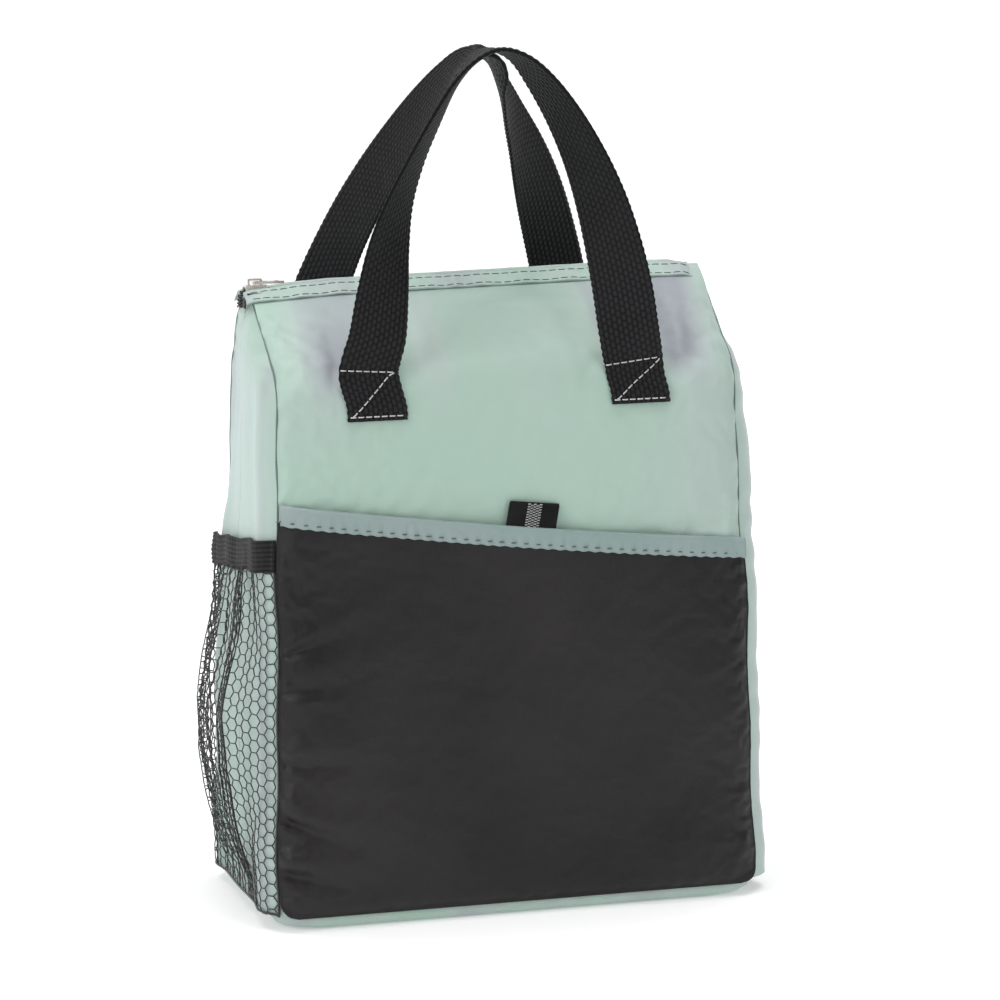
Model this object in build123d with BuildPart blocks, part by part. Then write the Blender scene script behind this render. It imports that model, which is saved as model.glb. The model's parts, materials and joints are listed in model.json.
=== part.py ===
"""Insulated lunch cooler bag: a padded tote with a tent-shaped top, a ridge zipper, two webbing
handles, a slip pocket on the front and a mesh bottle pocket on the left.

Row frame: millimetres, +Z up, the front panel faces -Y, origin on the floor under the bag's middle.
Every wall is a sandwich of outer fabric, foam and liner. The upper front and back panels are flaps
that turn about the creases, so the mouth opens once the zipper is undone.
"""

import os
from math import atan2, cos, radians, sin

from build123d import *

# ---- driving dimensions -----------------------------------------------------------------------
BAG_WIDTH = 200.0
BAG_DEPTH = 124.0
CREASE_Z = 224.0  # where the upright panels turn inwards
RIDGE_Z = 258.0  # top edge of both flaps
RIDGE_HALF_GAP = 7.0  # from the middle plane to a flap's top edge
SKIN = 0.8  # outer fabric
FOAM = 4.0
LINER = 0.6
BASE_HEIGHT = 8.0  # the bottom panel wraps up the walls this far
RUN_GAP = 0.3  # clearance between parts that move past each other

POCKET_DEPTH = 6.2  # front pocket, from the bag's front face to the pocket's own front face
POCKET_TOP_LEFT = 167.5  # height of the pocket fabric at its left and right ends
POCKET_TOP_RIGHT = 143.0
BINDING_HEIGHT = 8.0
BINDING_THICKNESS = 2.0
TAB_WIDTH = 20.0
TAB_THICKNESS = 1.4
TAB_X = 9.6
TAB_TOP_Z = 172.5
TAB_LENGTH = 17.0

MESH_THICKNESS = 0.6
MESH_TOP_Z = 145.0
MESH_HALF_SPAN = 60.0
ELASTIC_HEIGHT = 12.0
ELASTIC_THICKNESS = 1.2

WEBBING_WIDTH = 25.0
WEBBING_THICKNESS = 1.6
FACING_WIDTH = 9.5  # the strip along each edge of the mouth
FACING_THICKNESS = 1.2
FLAP_INNER_STOP = 13.0  # foam and liner end this far below a flap's edge
HANDLE_X = 55.0  # middle of each handle's sewn ends
HANDLE_FOOT_Z = CREASE_Z + 0.6  # where the free part of a handle begins
FOOT_LENGTH = 4.0  # each foot is upright and flat for this length
PATCH_TOP_Z = CREASE_Z - 2.8
PATCH_HEIGHT = 18.0
THREAD = 0.4

TAPE_Z = 254.6
TAPE_THICKNESS = 0.6
TAPE_INNER_Y = 1.4
COIL_INNER_Y = 0.8
COIL_WIDTH = 1.8
COIL_HEIGHT = 1.6
CHAIN_HALF_LENGTH = 82.0  # the chain that the flaps carry
TAIL_DROP = 8.0  # each end of the zipper folds down over its gusset
TAIL_HALF_TAPE = 8.0

SLIDER_X = -91.0
SLIDER_LENGTH = 9.0
SLIDER_WIDTH = 7.0
PULL_LENGTH = 13.0
PULL_WIDTH = 5.6

# ---- values worked out from them ----------------------------------------------------------------
HALF_W = BAG_WIDTH / 2
HALF_D = BAG_DEPTH / 2
WALL = SKIN + FOAM + LINER
LEAN = atan2(HALF_D - RIDGE_HALF_GAP, RIDGE_Z - CREASE_Z)  # of a flap, from the vertical
FLAP_LENGTH = (RIDGE_Z - CREASE_Z) / cos(LEAN)
EDGE = SKIN + RUN_GAP  # a gusset's sloping edge stays this far inside the flap's outer face
LOWER_TOP_Z = CREASE_Z - 5.5  # foam and liner stop below the crease, to let the flap turn
CHAIN_TOP_Z = TAPE_Z + TAPE_THICKNESS + COIL_HEIGHT
POCKET_FACE_Y = -HALF_D - POCKET_DEPTH
HANDLE_FOOT_Y = HALF_D + WEBBING_THICKNESS / 2 + RUN_GAP  # where each handle leg bends


def flap_point(along, inwards):
    """(y, z) of a point on the front flap: along the slope from the crease, then into the bag."""
    y = -HALF_D + along * sin(LEAN) + inwards * cos(LEAN)
    return y, CREASE_Z + along * cos(LEAN) - inwards * sin(LEAN)


def flap_at_height(z, inwards):
    """y on the front flap's layer at a given height."""
    along = (z - CREASE_Z + inwards * sin(LEAN)) / cos(LEAN)
    return flap_point(along, inwards)[0]


def flap_at_depth(y, inwards):
    """z on the front flap's layer at a given y."""
    along = (y + HALF_D - inwards * cos(LEAN)) / sin(LEAN)
    return flap_point(along, inwards)[1]


def save(solid, label):
    """Labels a finished piece and writes its STEP file."""
    solid.label = label
    export_step(solid, f"parts/{label}.step")


def profile_bar(points, x_low, x_high):
    """A bar along X with the given (y, z) outline."""
    with BuildPart() as bar:
        with BuildSketch(Plane.YZ.offset(x_low)):
            with BuildLine():
                Polyline(*points, close=True)
            make_face()
        extrude(amount=x_high - x_low)
    return bar.part


def block(x_range, y_range, z_range):
    """A rectangular piece between the given limits."""
    size = [high - low for low, high in (x_range, y_range, z_range)]
    centre = [(high + low) / 2 for low, high in (x_range, y_range, z_range)]
    with BuildPart() as piece:
        with Locations(tuple(centre)):
            Box(*size)
    return piece.part


def to_back(solid):
    """The same piece on the back of the bag."""
    return mirror(solid, about=Plane.XZ)


def join(solids):
    """Several separate solids of one node."""
    return Compound(children=list(solids))


# ---- base ---------------------------------------------------------------------------------------
def make_base():
    """Outer fabric of the bottom, a shallow tray with rounded corners."""
    with BuildPart() as base:
        with BuildSketch():
            RectangleRounded(BAG_WIDTH, BAG_DEPTH, 8)
        extrude(amount=BASE_HEIGHT)
        fillet(base.faces().sort_by(Axis.Z)[0].edges(), radius=2.5)
        offset(amount=-SKIN, openings=base.faces().sort_by(Axis.Z)[-1])
    return base.part


def make_base_layer(z_low, z_high, inset):
    """A foam or liner sheet that lies in the base tray."""
    with BuildPart() as layer:
        with BuildSketch(Plane.XY.offset(z_low)):
            RectangleRounded(BAG_WIDTH - 2 * inset, BAG_DEPTH - 2 * inset, 8 - SKIN)
        extrude(amount=z_high - z_low)
        if inset == SKIN:
            fillet(layer.faces().sort_by(Axis.Z)[0].edges(), radius=1.7)
    return layer.part


# ---- walls --------------------------------------------------------------------------------------
def make_lower_wall(depth_from, depth_to, half_width, top_z):
    """One layer of the upright front wall."""
    return block((-half_width, half_width), (-HALF_D + depth_from, -HALF_D + depth_to), (BASE_HEIGHT, top_z))


def make_gusset(x_from, x_to, half_depth, top_z):
    """One layer of a side wall: upright edges, then sloping ones up to a short top edge."""
    shoulder_z = flap_at_depth(-half_depth, EDGE)
    top_y = flap_at_height(top_z, EDGE)
    outline = [
        (-half_depth, BASE_HEIGHT),
        (half_depth, BASE_HEIGHT),
        (half_depth, shoulder_z),
        (-top_y, top_z),
        (top_y, top_z),
        (-half_depth, shoulder_z),
    ]
    return profile_bar(outline, x_from, x_to)


def make_flap_layer(depth_from, depth_to, start, end, half_width):
    """One layer of the front flap, from start to end along the slope."""
    corners = [(start, depth_from), (end, depth_from), (end, depth_to), (start, depth_to)]
    return profile_bar([flap_point(*corner) for corner in corners], -half_width, half_width)


# ---- zipper -------------------------------------------------------------------------------------
def make_tape():
    """The front half of the zipper tape, from under the flap's edge to beside the coil."""
    low, high = TAPE_Z, TAPE_Z + TAPE_THICKNESS
    outline = [
        (-TAPE_INNER_Y, low),
        (-TAPE_INNER_Y, high),
        (flap_at_height(high, SKIN), high),
        (flap_at_height(low, SKIN), low),
    ]
    return profile_bar(outline, -CHAIN_HALF_LENGTH, CHAIN_HALF_LENGTH)


def coil_limits(side):
    """y limits of one coil; side is -1 for the front and 1 for the back."""
    return sorted((side * COIL_INNER_Y, side * (COIL_INNER_Y + COIL_WIDTH)))


def make_coil(side, x_range):
    """One nylon coil as a plain bar with rounded long edges."""
    base_z = TAPE_Z + TAPE_THICKNESS
    bar = block(x_range, coil_limits(side), (base_z, CHAIN_TOP_Z))
    with BuildPart() as coil:
        add(bar)
        fillet(coil.edges().filter_by(Axis.X).group_by(Axis.Z)[-1], radius=0.5)
    return coil.part


def make_tail(side):
    """A fixed end of the zipper that folds down over the gusset; side is -1 left, 1 right.

    Its two tapes stay apart until past the slider's end, where a stop joins them.
    """
    inner = side * (CHAIN_HALF_LENGTH + 0.5)
    stop = side * (HALF_W - 4.0)
    outer = side * HALF_W
    tape_top = TAPE_Z + TAPE_THICKNESS
    drop_z = TAPE_Z - TAIL_DROP
    tape_face = outer + side * TAPE_THICKNESS
    pieces = [
        block(sorted((stop, tape_face)), (-TAIL_HALF_TAPE, TAIL_HALF_TAPE), (TAPE_Z, tape_top)),
        block(sorted((outer, tape_face)), (-TAIL_HALF_TAPE, TAIL_HALF_TAPE), (drop_z, TAPE_Z)),
    ]
    for edge in (-1, 1):
        half_tape = sorted((edge * TAPE_INNER_Y, edge * TAIL_HALF_TAPE))
        pieces.append(block(sorted((inner, stop)), half_tape, (TAPE_Z, tape_top)))
        pieces.append(make_coil(edge, sorted((inner, tape_face))))
        fall = sorted((tape_face, tape_face + side * COIL_HEIGHT))
        pieces.append(block(fall, coil_limits(edge), (drop_z, CHAIN_TOP_Z - 0.3)))
    with BuildPart() as tail:
        for piece in pieces:
            add(piece)
    return tail.part


def make_slider_body():
    """Two plates joined by a slim post, with side lips that hold the coils."""
    x_range = (SLIDER_X - SLIDER_LENGTH / 2, SLIDER_X + SLIDER_LENGTH / 2)
    half = SLIDER_WIDTH / 2
    lip = 0.6
    floor = 1.0
    post_half = 0.45
    low = TAPE_Z - RUN_GAP - floor
    roof = CHAIN_TOP_Z + SLIDER_CLEAR
    plates = [
        block(x_range, (-half, half), (low, low + floor)),
        block(x_range, (-half, half), (roof, roof + SLIDER_ROOF)),
        block((x_range[0], x_range[0] + 1.6), (-post_half, post_half), (low + floor, roof)),
    ]
    for side in (-1, 1):
        lip_y = sorted((side * (half - lip), side * half))
        plates.append(block(x_range, lip_y, (TAPE_Z + TAPE_THICKNESS + 0.4, roof)))
    with BuildPart() as body:
        for plate in plates:
            add(plate)
        fillet(body.edges().filter_by(Axis.Z).group_by(Axis.Y)[-1], radius=0.25)
        fillet(body.edges().filter_by(Axis.Z).group_by(Axis.Y)[0], radius=0.25)
    return body.part


SLIDER_CLEAR = 0.4  # between the coils and the slider's top plate
SLIDER_ROOF = 0.8
CROWN_FOOT_Z = CHAIN_TOP_Z + SLIDER_CLEAR + SLIDER_ROOF
PIN_Z = CROWN_FOOT_Z + 0.9
PIN_X = SLIDER_X - 0.5


def make_slider_crown():
    """The small bridge on the slider that the pull hangs from."""
    half = 3.0
    with BuildPart() as crown:
        with BuildSketch(Plane.XZ.offset(-0.8)):
            with Locations((SLIDER_X, CROWN_FOOT_Z + 1.3)):
                Rectangle(2 * half, 2.6)
            with Locations((SLIDER_X, CROWN_FOOT_Z + 0.9)):
                Rectangle(2 * half - 1.6, 1.8, mode=Mode.SUBTRACT)
        extrude(amount=1.6)
        fillet(crown.edges().filter_by(Axis.Y).group_by(Axis.Z)[-1], radius=0.6)
    return crown.part


def make_pull():
    """The pull: a flat tab with a window, and a cross bar that passes under the crown."""
    half = PULL_WIDTH / 2
    thickness = 1.0
    with BuildPart() as pull:
        with BuildSketch(Plane.XY.offset(PIN_Z - thickness / 2)):
            with Locations((PIN_X + PULL_LENGTH / 2 - 0.5, 0)):
                RectangleRounded(PULL_LENGTH, PULL_WIDTH, 0.9)
            with Locations((PIN_X + 2.9, 0)):
                Rectangle(4.8, 2 * half - 2.2, mode=Mode.SUBTRACT)
            with Locations((PIN_X + PULL_LENGTH - 3.4, 0)):
                SlotOverall(3.6, 1.6, rotation=90, mode=Mode.SUBTRACT)
        extrude(amount=thickness)
    return pull.part


# ---- front pocket -------------------------------------------------------------------------------
def pocket_top(x, above=0.0):
    """Height of the pocket fabric's sloping top edge."""
    share = (x + HALF_W) / BAG_WIDTH
    return POCKET_TOP_LEFT + share * (POCKET_TOP_RIGHT - POCKET_TOP_LEFT) + above


def make_pocket_panel():
    """A wide shallow pouch, open at its sloping top, whose back is the bag's front panel."""
    inner = HALF_W - SKIN
    with BuildPart() as pocket:
        with BuildSketch(Plane.XZ.offset(HALF_D)):
            with BuildLine():
                Polyline(
                    (-HALF_W, BASE_HEIGHT),
                    (HALF_W, BASE_HEIGHT),
                    (HALF_W, pocket_top(HALF_W)),
                    (-HALF_W, pocket_top(-HALF_W)),
                    close=True,
                )
            make_face()
        extrude(amount=POCKET_DEPTH)
        with BuildSketch(Plane.XZ.offset(HALF_D)):
            with BuildLine():
                Polyline(
                    (-inner, BASE_HEIGHT + SKIN),
                    (inner, BASE_HEIGHT + SKIN),
                    (inner, pocket_top(inner, 1)),
                    (-inner, pocket_top(-inner, 1)),
                    close=True,
                )
            make_face()
        extrude(amount=POCKET_DEPTH - SKIN, mode=Mode.SUBTRACT)
    return pocket.part


def make_strip_on_slope(x_low, x_high, above_low, above_high, y_range):
    """A flat strip that follows the pocket's sloping top edge."""
    with BuildPart() as strip:
        with BuildSketch(Plane.XZ.offset(-y_range[1])):
            with BuildLine():
                Polyline(
                    (x_low, pocket_top(x_low, above_low)),
                    (x_high, pocket_top(x_high, above_low)),
                    (x_high, pocket_top(x_high, above_high)),
                    (x_low, pocket_top(x_low, above_high)),
                    close=True,
                )
            make_face()
        extrude(amount=y_range[1] - y_range[0])
    return strip.part


def make_loop_tab():
    """A folded ribbon that stands up from behind the pocket binding."""
    back_y = POCKET_FACE_Y - (BINDING_THICKNESS - SKIN) / 2 + BINDING_THICKNESS
    with BuildPart() as tab:
        with BuildSketch(Plane.XZ.offset(-back_y - TAB_THICKNESS)):
            with Locations((TAB_X, TAB_TOP_Z - TAB_LENGTH / 2)):
                RectangleRounded(TAB_WIDTH, TAB_LENGTH, 0.6)
        extrude(amount=TAB_THICKNESS)
    return tab.part


# ---- mesh side pocket ---------------------------------------------------------------------------
MESH_STATIONS = [(BASE_HEIGHT, 1.5), (30.0, 12.0), (62.0, 19.0), (100.0, 16.5), (MESH_TOP_Z, 8.3)]


def make_side_pouch(stations, thickness):
    """A curved sheet that bulges out from the left gusset, open above; stations are (z, bulge)."""

    def hull(inset):
        with BuildPart() as bulge:
            for z, depth in stations:
                half = MESH_HALF_SPAN - inset
                with BuildSketch(Plane.XY.offset(z)):
                    with BuildLine():
                        ThreePointArc((-HALF_W, -half), (-HALF_W - depth + inset, 0), (-HALF_W, half))
                        Line((-HALF_W, half), (-HALF_W, -half))
                    make_face()
            loft(ruled=True)
        return bulge.part

    return hull(0) - hull(thickness)


# ---- handles ------------------------------------------------------------------------------------
# Points along each strap from its left foot to its right foot: x, y, z and the twist in degrees.
FRONT_HANDLE = [
    (-56.5, -HANDLE_FOOT_Y, HANDLE_FOOT_Z, 0),
    (-56.5, -HANDLE_FOOT_Y, HANDLE_FOOT_Z + FOOT_LENGTH, 0),
    (-54.5, -64.5, 240, 9),
    (-51.9, -64.0, 256, 20),
    (-48.7, -63.0, 274, 35),
    (-43.4, -61.5, 292, 51),
    (-35.8, -60.0, 309, 61),
    (-26.9, -58.5, 325, 67),
    (-18.2, -57.0, 339, 74),
    (-9.5, -56.0, 348, 84),
    (-0.8, -55.5, 351, 90),
    (8.5, -56.0, 348, 96),
    (17.1, -57.0, 339, 106),
    (25.9, -58.5, 325, 114),
    (33.5, -60.0, 309, 122),
    (39.5, -61.5, 292, 132),
    (44.0, -63.0, 274, 143),
    (47.4, -64.0, 256, 155),
    (49.5, -64.5, 240, 167),
    (52.0, -HANDLE_FOOT_Y, HANDLE_FOOT_Z + FOOT_LENGTH, 180),
    (52.0, -HANDLE_FOOT_Y, HANDLE_FOOT_Z, 180),
]
BACK_HANDLE = [
    (-57.0, HANDLE_FOOT_Y, HANDLE_FOOT_Z, 0),
    (-57.0, HANDLE_FOOT_Y, HANDLE_FOOT_Z + FOOT_LENGTH, 0),
    (-54.4, 60.5, 240, 24),
    (-49.6, 54.0, 256, 42),
    (-43.6, 44.0, 274, 54),
    (-36.6, 31.0, 292, 61),
    (-29.1, 17.0, 309, 68),
    (-21.0, 2.0, 325, 74),
    (-12.7, -14.0, 339, 80),
    (-6.5, -25.0, 347, 86),
    (-0.8, -28.8, 350, 90),
    (5.0, -25.0, 347, 98),
    (11.2, -14.0, 339, 108),
    (20.5, 2.0, 325, 120),
    (30.3, 17.0, 309, 134),
    (39.2, 31.0, 292, 150),
    (47.1, 44.0, 274, 163),
    (53.5, 54.0, 256, 172),
    (57.5, 60.5, 240, 177),
    (59.0, HANDLE_FOOT_Y, HANDLE_FOOT_Z + FOOT_LENGTH, 180),
    (59.0, HANDLE_FOOT_Y, HANDLE_FOOT_Z, 180),
]


def make_handle(route, side):
    """A strap that lies flat on its panel at both feet and turns half round on the way over.

    side is -1 on the front and 1 on the back: the strap's outer edges turn that way.
    """
    points = [Vector(x, y, z) for x, y, z, _ in route]
    with BuildPart() as handle:
        for i, point in enumerate(points):
            before = points[max(i - 1, 0)]
            after = points[min(i + 1, len(points) - 1)]
            tangent = (after - before).normalized()
            twist = radians(route[i][3])
            across = Vector(-cos(twist), side * sin(twist), 0)
            across = (across - tangent * across.dot(tangent)).normalized()
            with BuildSketch(Plane(origin=point, x_dir=across, z_dir=tangent)):
                Rectangle(WEBBING_WIDTH, WEBBING_THICKNESS)
        loft(ruled=True)
    return handle.part


def make_patches():
    """The two sewn ends of the front handle, flat on the front panel."""
    y_range = (-HALF_D - WEBBING_THICKNESS, -HALF_D)
    legs = [(side * HANDLE_X - WEBBING_WIDTH / 2, side * HANDLE_X + WEBBING_WIDTH / 2) for side in (-1, 1)]
    return [block(leg, y_range, (PATCH_TOP_Z - PATCH_HEIGHT, PATCH_TOP_Z)) for leg in legs]


def make_patch_threads():
    """Top, bottom and diagonal seams of both front patches, as plain thread bars."""
    face_y = -HALF_D - WEBBING_THICKNESS
    half = WEBBING_WIDTH / 2 - 1.5
    low, high = PATCH_TOP_Z - PATCH_HEIGHT + 1.6, PATCH_TOP_Z - 1.4
    bars = []
    for side in (-1, 1):
        left, right = side * HANDLE_X - half, side * HANDLE_X + half
        for z in (low, high):
            bars.append(block((left, right), (face_y - THREAD, face_y), (z - THREAD / 2, z + THREAD / 2)))
        with BuildPart() as diagonal:
            with BuildSketch(Plane.XZ.offset(-face_y)):
                with BuildLine():
                    Polyline(
                        (left + 0.4, low + 0.6),
                        (left + 1.0, low + 0.6),
                        (right - 0.4, high - 0.6),
                        (right - 1.0, high - 0.6),
                        close=True,
                    )
                make_face()
            extrude(amount=THREAD)
        bars.append(diagonal.part)
    return bars


# ---- write everything ---------------------------------------------------------------------------
def main():
    os.makedirs("parts", exist_ok=True)

    foam_top = BASE_HEIGHT - LINER
    save(make_base(), "base_outer")
    save(make_base_layer(SKIN, foam_top, SKIN), "base_foam")
    save(make_base_layer(foam_top, BASE_HEIGHT, SKIN + 0.01), "base_liner")

    # (name, depth from, depth to, half width of the lower wall, its top)
    lower_layers = [
        ("outer", 0, SKIN, HALF_W, flap_at_depth(-HALF_D + SKIN, EDGE)),
        ("foam", SKIN, SKIN + FOAM, HALF_W - SKIN - FOAM, LOWER_TOP_Z),
        ("liner", SKIN + FOAM, WALL, HALF_W - WALL, LOWER_TOP_Z),
    ]
    for name, depth_from, depth_to, half_width, top_z in lower_layers:
        wall = make_lower_wall(depth_from, depth_to, half_width, top_z)
        save(wall, f"front_{name}")
        save(to_back(wall), f"back_{name}")

    # (name, inset of its outer face from the bag's side, thickness, half depth, top)
    gusset_layers = [
        ("outer", 0, SKIN, HALF_D - SKIN, TAPE_Z - 0.4),
        ("foam", SKIN, FOAM, HALF_D - SKIN, TAPE_Z - 2.5),
        ("liner", SKIN + FOAM, LINER, HALF_D - SKIN - FOAM, TAPE_Z - 2.5),
    ]
    for name, inset, thickness, half_depth, top_z in gusset_layers:
        gusset = make_gusset(-HALF_W + inset, -HALF_W + inset + thickness, half_depth, top_z)
        save(gusset, f"left_gusset_{name}")
        save(mirror(gusset, about=Plane.YZ), f"right_gusset_{name}")

    # (name, depth from, depth to, start and end along the slope, half width)
    inner_half = HALF_W - WALL - LINER
    inner_end = FLAP_LENGTH - FLAP_INNER_STOP
    facing_start = FLAP_LENGTH - FACING_WIDTH
    flap_layers = [
        ("flap_outer", 0, SKIN, RUN_GAP, FLAP_LENGTH, HALF_W),
        ("flap_foam", SKIN, SKIN + FOAM, 1.0, inner_end, inner_half),
        ("flap_liner", SKIN + FOAM, WALL, 1.0, inner_end, inner_half),
        ("zip_facing", -FACING_THICKNESS, 0, facing_start, FLAP_LENGTH, HALF_W - 3),
    ]
    for name, depth_from, depth_to, start, end, half_width in flap_layers:
        layer = make_flap_layer(depth_from, depth_to, start, end, half_width)
        save(layer, f"front_{name}")
        save(to_back(layer), f"back_{name}")
    for row_name, along in (("upper", FLAP_LENGTH - 1.6), ("lower", facing_start + 0.8)):
        thread_top = -FACING_THICKNESS - THREAD
        row = make_flap_layer(thread_top, -FACING_THICKNESS, along, along + THREAD, HALF_W - 5)
        save(row, f"front_facing_{row_name}_seam")
        save(to_back(row), f"back_facing_{row_name}_seam")

    save(make_tape(), "front_zip_tape")
    save(to_back(make_tape()), "back_zip_tape")
    chain = (-CHAIN_HALF_LENGTH, CHAIN_HALF_LENGTH)
    save(make_coil(-1, chain), "front_zip_coil")
    save(make_coil(1, chain), "back_zip_coil")
    save(make_tail(-1), "left_zip_tail")
    save(make_tail(1), "right_zip_tail")
    save(make_slider_body(), "slider_body")
    save(make_slider_crown(), "slider_crown")
    save(make_pull(), "slider_pull")

    binding_front = POCKET_FACE_Y - (BINDING_THICKNESS - SKIN) / 2
    binding_y = (binding_front, binding_front + BINDING_THICKNESS)
    save(make_pocket_panel(), "pocket_panel")
    save(make_strip_on_slope(-HALF_W, HALF_W, 0, BINDING_HEIGHT, binding_y), "pocket_binding")
    seam_y = (binding_front - THREAD, binding_front)
    save(make_strip_on_slope(-HALF_W + 2, HALF_W - 2, 1.4, 1.4 + THREAD, seam_y), "binding_seam")
    save(make_loop_tab(), "loop_tab")

    save(make_side_pouch(MESH_STATIONS, MESH_THICKNESS), "mesh_pocket")
    band = [(MESH_TOP_Z, 8.3), (MESH_TOP_Z + ELASTIC_HEIGHT, 7.0)]
    save(make_side_pouch(band, ELASTIC_THICKNESS), "mesh_elastic")

    for name, patch in zip(("left", "right"), make_patches()):
        save(patch, f"front_{name}_patch")
        save(to_back(patch), f"back_{name}_patch")
    threads = make_patch_threads()
    save(join(threads), "front_patch_threads")
    save(join([to_back(bar) for bar in threads]), "back_patch_threads")
    save(make_handle(FRONT_HANDLE, -1), "front_handle")
    save(make_handle(BACK_HANDLE, 1), "back_handle")


main()
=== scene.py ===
"""Insulated cooler bag: fabric, webbing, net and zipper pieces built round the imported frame.

Shapes are worked out in millimetres and scaled to metres as each mesh is made. Left and right
are the bag's own as seen from the front: the front panel faces -Y and +X is to the right.
"""

import json
import math

import bpy
import numpy as np
from mathutils import Matrix, Vector


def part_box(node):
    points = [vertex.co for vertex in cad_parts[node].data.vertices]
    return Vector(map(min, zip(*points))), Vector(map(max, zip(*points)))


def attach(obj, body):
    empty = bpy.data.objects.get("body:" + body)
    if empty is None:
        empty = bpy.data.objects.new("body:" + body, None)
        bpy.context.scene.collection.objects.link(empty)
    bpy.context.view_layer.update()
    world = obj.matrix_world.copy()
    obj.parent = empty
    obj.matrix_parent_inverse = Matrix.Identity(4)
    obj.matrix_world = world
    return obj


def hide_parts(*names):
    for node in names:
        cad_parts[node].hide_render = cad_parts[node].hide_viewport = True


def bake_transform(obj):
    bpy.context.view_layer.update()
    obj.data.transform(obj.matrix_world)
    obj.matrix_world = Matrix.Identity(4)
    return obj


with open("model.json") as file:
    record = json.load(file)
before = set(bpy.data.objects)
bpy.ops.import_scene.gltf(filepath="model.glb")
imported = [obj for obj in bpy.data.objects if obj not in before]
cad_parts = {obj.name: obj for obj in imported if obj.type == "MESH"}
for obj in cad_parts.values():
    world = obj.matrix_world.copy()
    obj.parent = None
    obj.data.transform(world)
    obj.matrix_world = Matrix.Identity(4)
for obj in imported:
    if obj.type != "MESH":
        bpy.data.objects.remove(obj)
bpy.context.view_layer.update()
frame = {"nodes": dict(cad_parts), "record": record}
MM = 0.001
TURN = 2 * math.pi
SIDES = {"left": -1, "right": 1}  # the sign of x
FACES = {"front": -1, "back": 1}  # the sign of y


# ---- sizes read from the frame, in millimetres ---------------------------------------------------
def box_mm(node):
    """Lowest and highest corner of a CAD node, in millimetres."""
    return [np.array(corner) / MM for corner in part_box(node)]


def joint_mm(name):
    """The place of a joint, in millimetres."""
    joints = frame["record"]["behaviour"]["joints"]
    return next(np.array(joint["pos_m"]) / MM for joint in joints if joint["name"] == name)


BASE_Z = box_mm("base_outer")[1][2]
HALF_W = box_mm("front_outer")[1][0]
HALF_D = -box_mm("front_outer")[0][1]
CREASE_Z = joint_mm("front_mouth")[2]
RIDGE_Z = box_mm("front_flap_outer")[1][2]
RIDGE_Y = -box_mm("front_zip_facing")[1][1]
TAPE_LOW, TAPE_HIGH = box_mm("front_zip_tape")
COIL_LOW, COIL_HIGH = box_mm("front_zip_coil")
TAB_LOW, TAB_HIGH = box_mm("loop_tab")
WEBBING = 25.0
WEBBING_THICK = 1.6
HANDLE_X, HANDLE_Z = 55.0, 213.0  # the middle of a handle's sewn end

SKIN = 0.8
FOAM = 4.0
WALL = 5.4
SEAM_DEPTH = 2.8  # how far the seams are drawn in from the panels
ROUND = 24.0  # radius of the soft crease
LEAN = math.atan2(HALF_D - RIDGE_Y, RIDGE_Z - CREASE_Z)  # of a flap, from the vertical
CREASE_CUT = ROUND * math.tan(LEAN / 2)
S_ARC = CREASE_Z - CREASE_CUT - BASE_Z  # arc lengths up the wall: where the crease starts,
S_SLOPE = S_ARC + ROUND * LEAN  # where it ends,
S_TOP = S_SLOPE + math.hypot(HALF_D - RIDGE_Y, RIDGE_Z - CREASE_Z) - CREASE_CUT  # and the ridge

POCKET_LEFT_Z = box_mm("pocket_panel")[1][2] - 1.2
POCKET_RIGHT_Z = 142.0
POCKET_BOTTOM_Z = 5.6
BEHIND_POCKET = -1.0  # the most that the wall stands out behind the pocket
BINDING = 8.2


# ---- small numeric helpers -----------------------------------------------------------------------
def smooth(a, b, x):
    """0 before a, 1 after b, smooth between."""
    t = np.clip((np.asarray(x, float) - a) / (b - a), 0, 1)
    return t * t * (3 - 2 * t)


def bump(x, centre, width):
    """A bell of height 1."""
    return np.exp(-(((np.asarray(x, float) - centre) / width) ** 2))


def waves(x, z, seed, length):
    """Smooth seeded unevenness between about -1 and 1, with features about length long."""
    rng = np.random.default_rng(seed)
    total, count = 0, 7
    for _ in range(count):
        turn = rng.uniform(0, TURN)
        k = TURN / (length * rng.uniform(0.7, 1.6))
        total = total + np.cos(k * (x * math.cos(turn) + z * math.sin(turn)) + rng.uniform(0, TURN))
    return total / math.sqrt(count)


def spread(*parts):
    """Arrays brought to one shape and stacked along a new last axis."""
    return np.stack(np.broadcast_arrays(*parts), -1)


def unit(vectors):
    """Vectors along the last axis, made one long."""
    return vectors / np.maximum(np.linalg.norm(vectors, axis=-1, keepdims=True), 1e-9)


def run_along(points):
    """How far along a polyline each of its points lies."""
    return np.r_[0, np.cumsum(np.linalg.norm(np.diff(points, axis=0), axis=1))]


def columns_at(at, run, points):
    """Every column of points, interpolated at the places at along run."""
    return np.stack([np.interp(at, run, column) for column in points.T], 1)


def resample(points, step):
    """Points every step millimetres along a polyline, with any extra columns carried along."""
    points = np.asarray(points, float)
    run = run_along(points[:, :3])
    return columns_at(np.linspace(0, run[-1], max(2, round(run[-1] / step) + 1)), run, points)


def soften(field, reach):
    """A field averaged over about reach cells each way."""
    kernel = np.exp(-(np.linspace(-2, 2, 2 * reach + 1) ** 2))
    kernel /= kernel.sum()
    padded = np.pad(field, reach, mode="edge")
    for axis in (0, 1):
        padded = np.apply_along_axis(np.convolve, axis, padded, kernel, "valid")
    return padded


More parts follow.
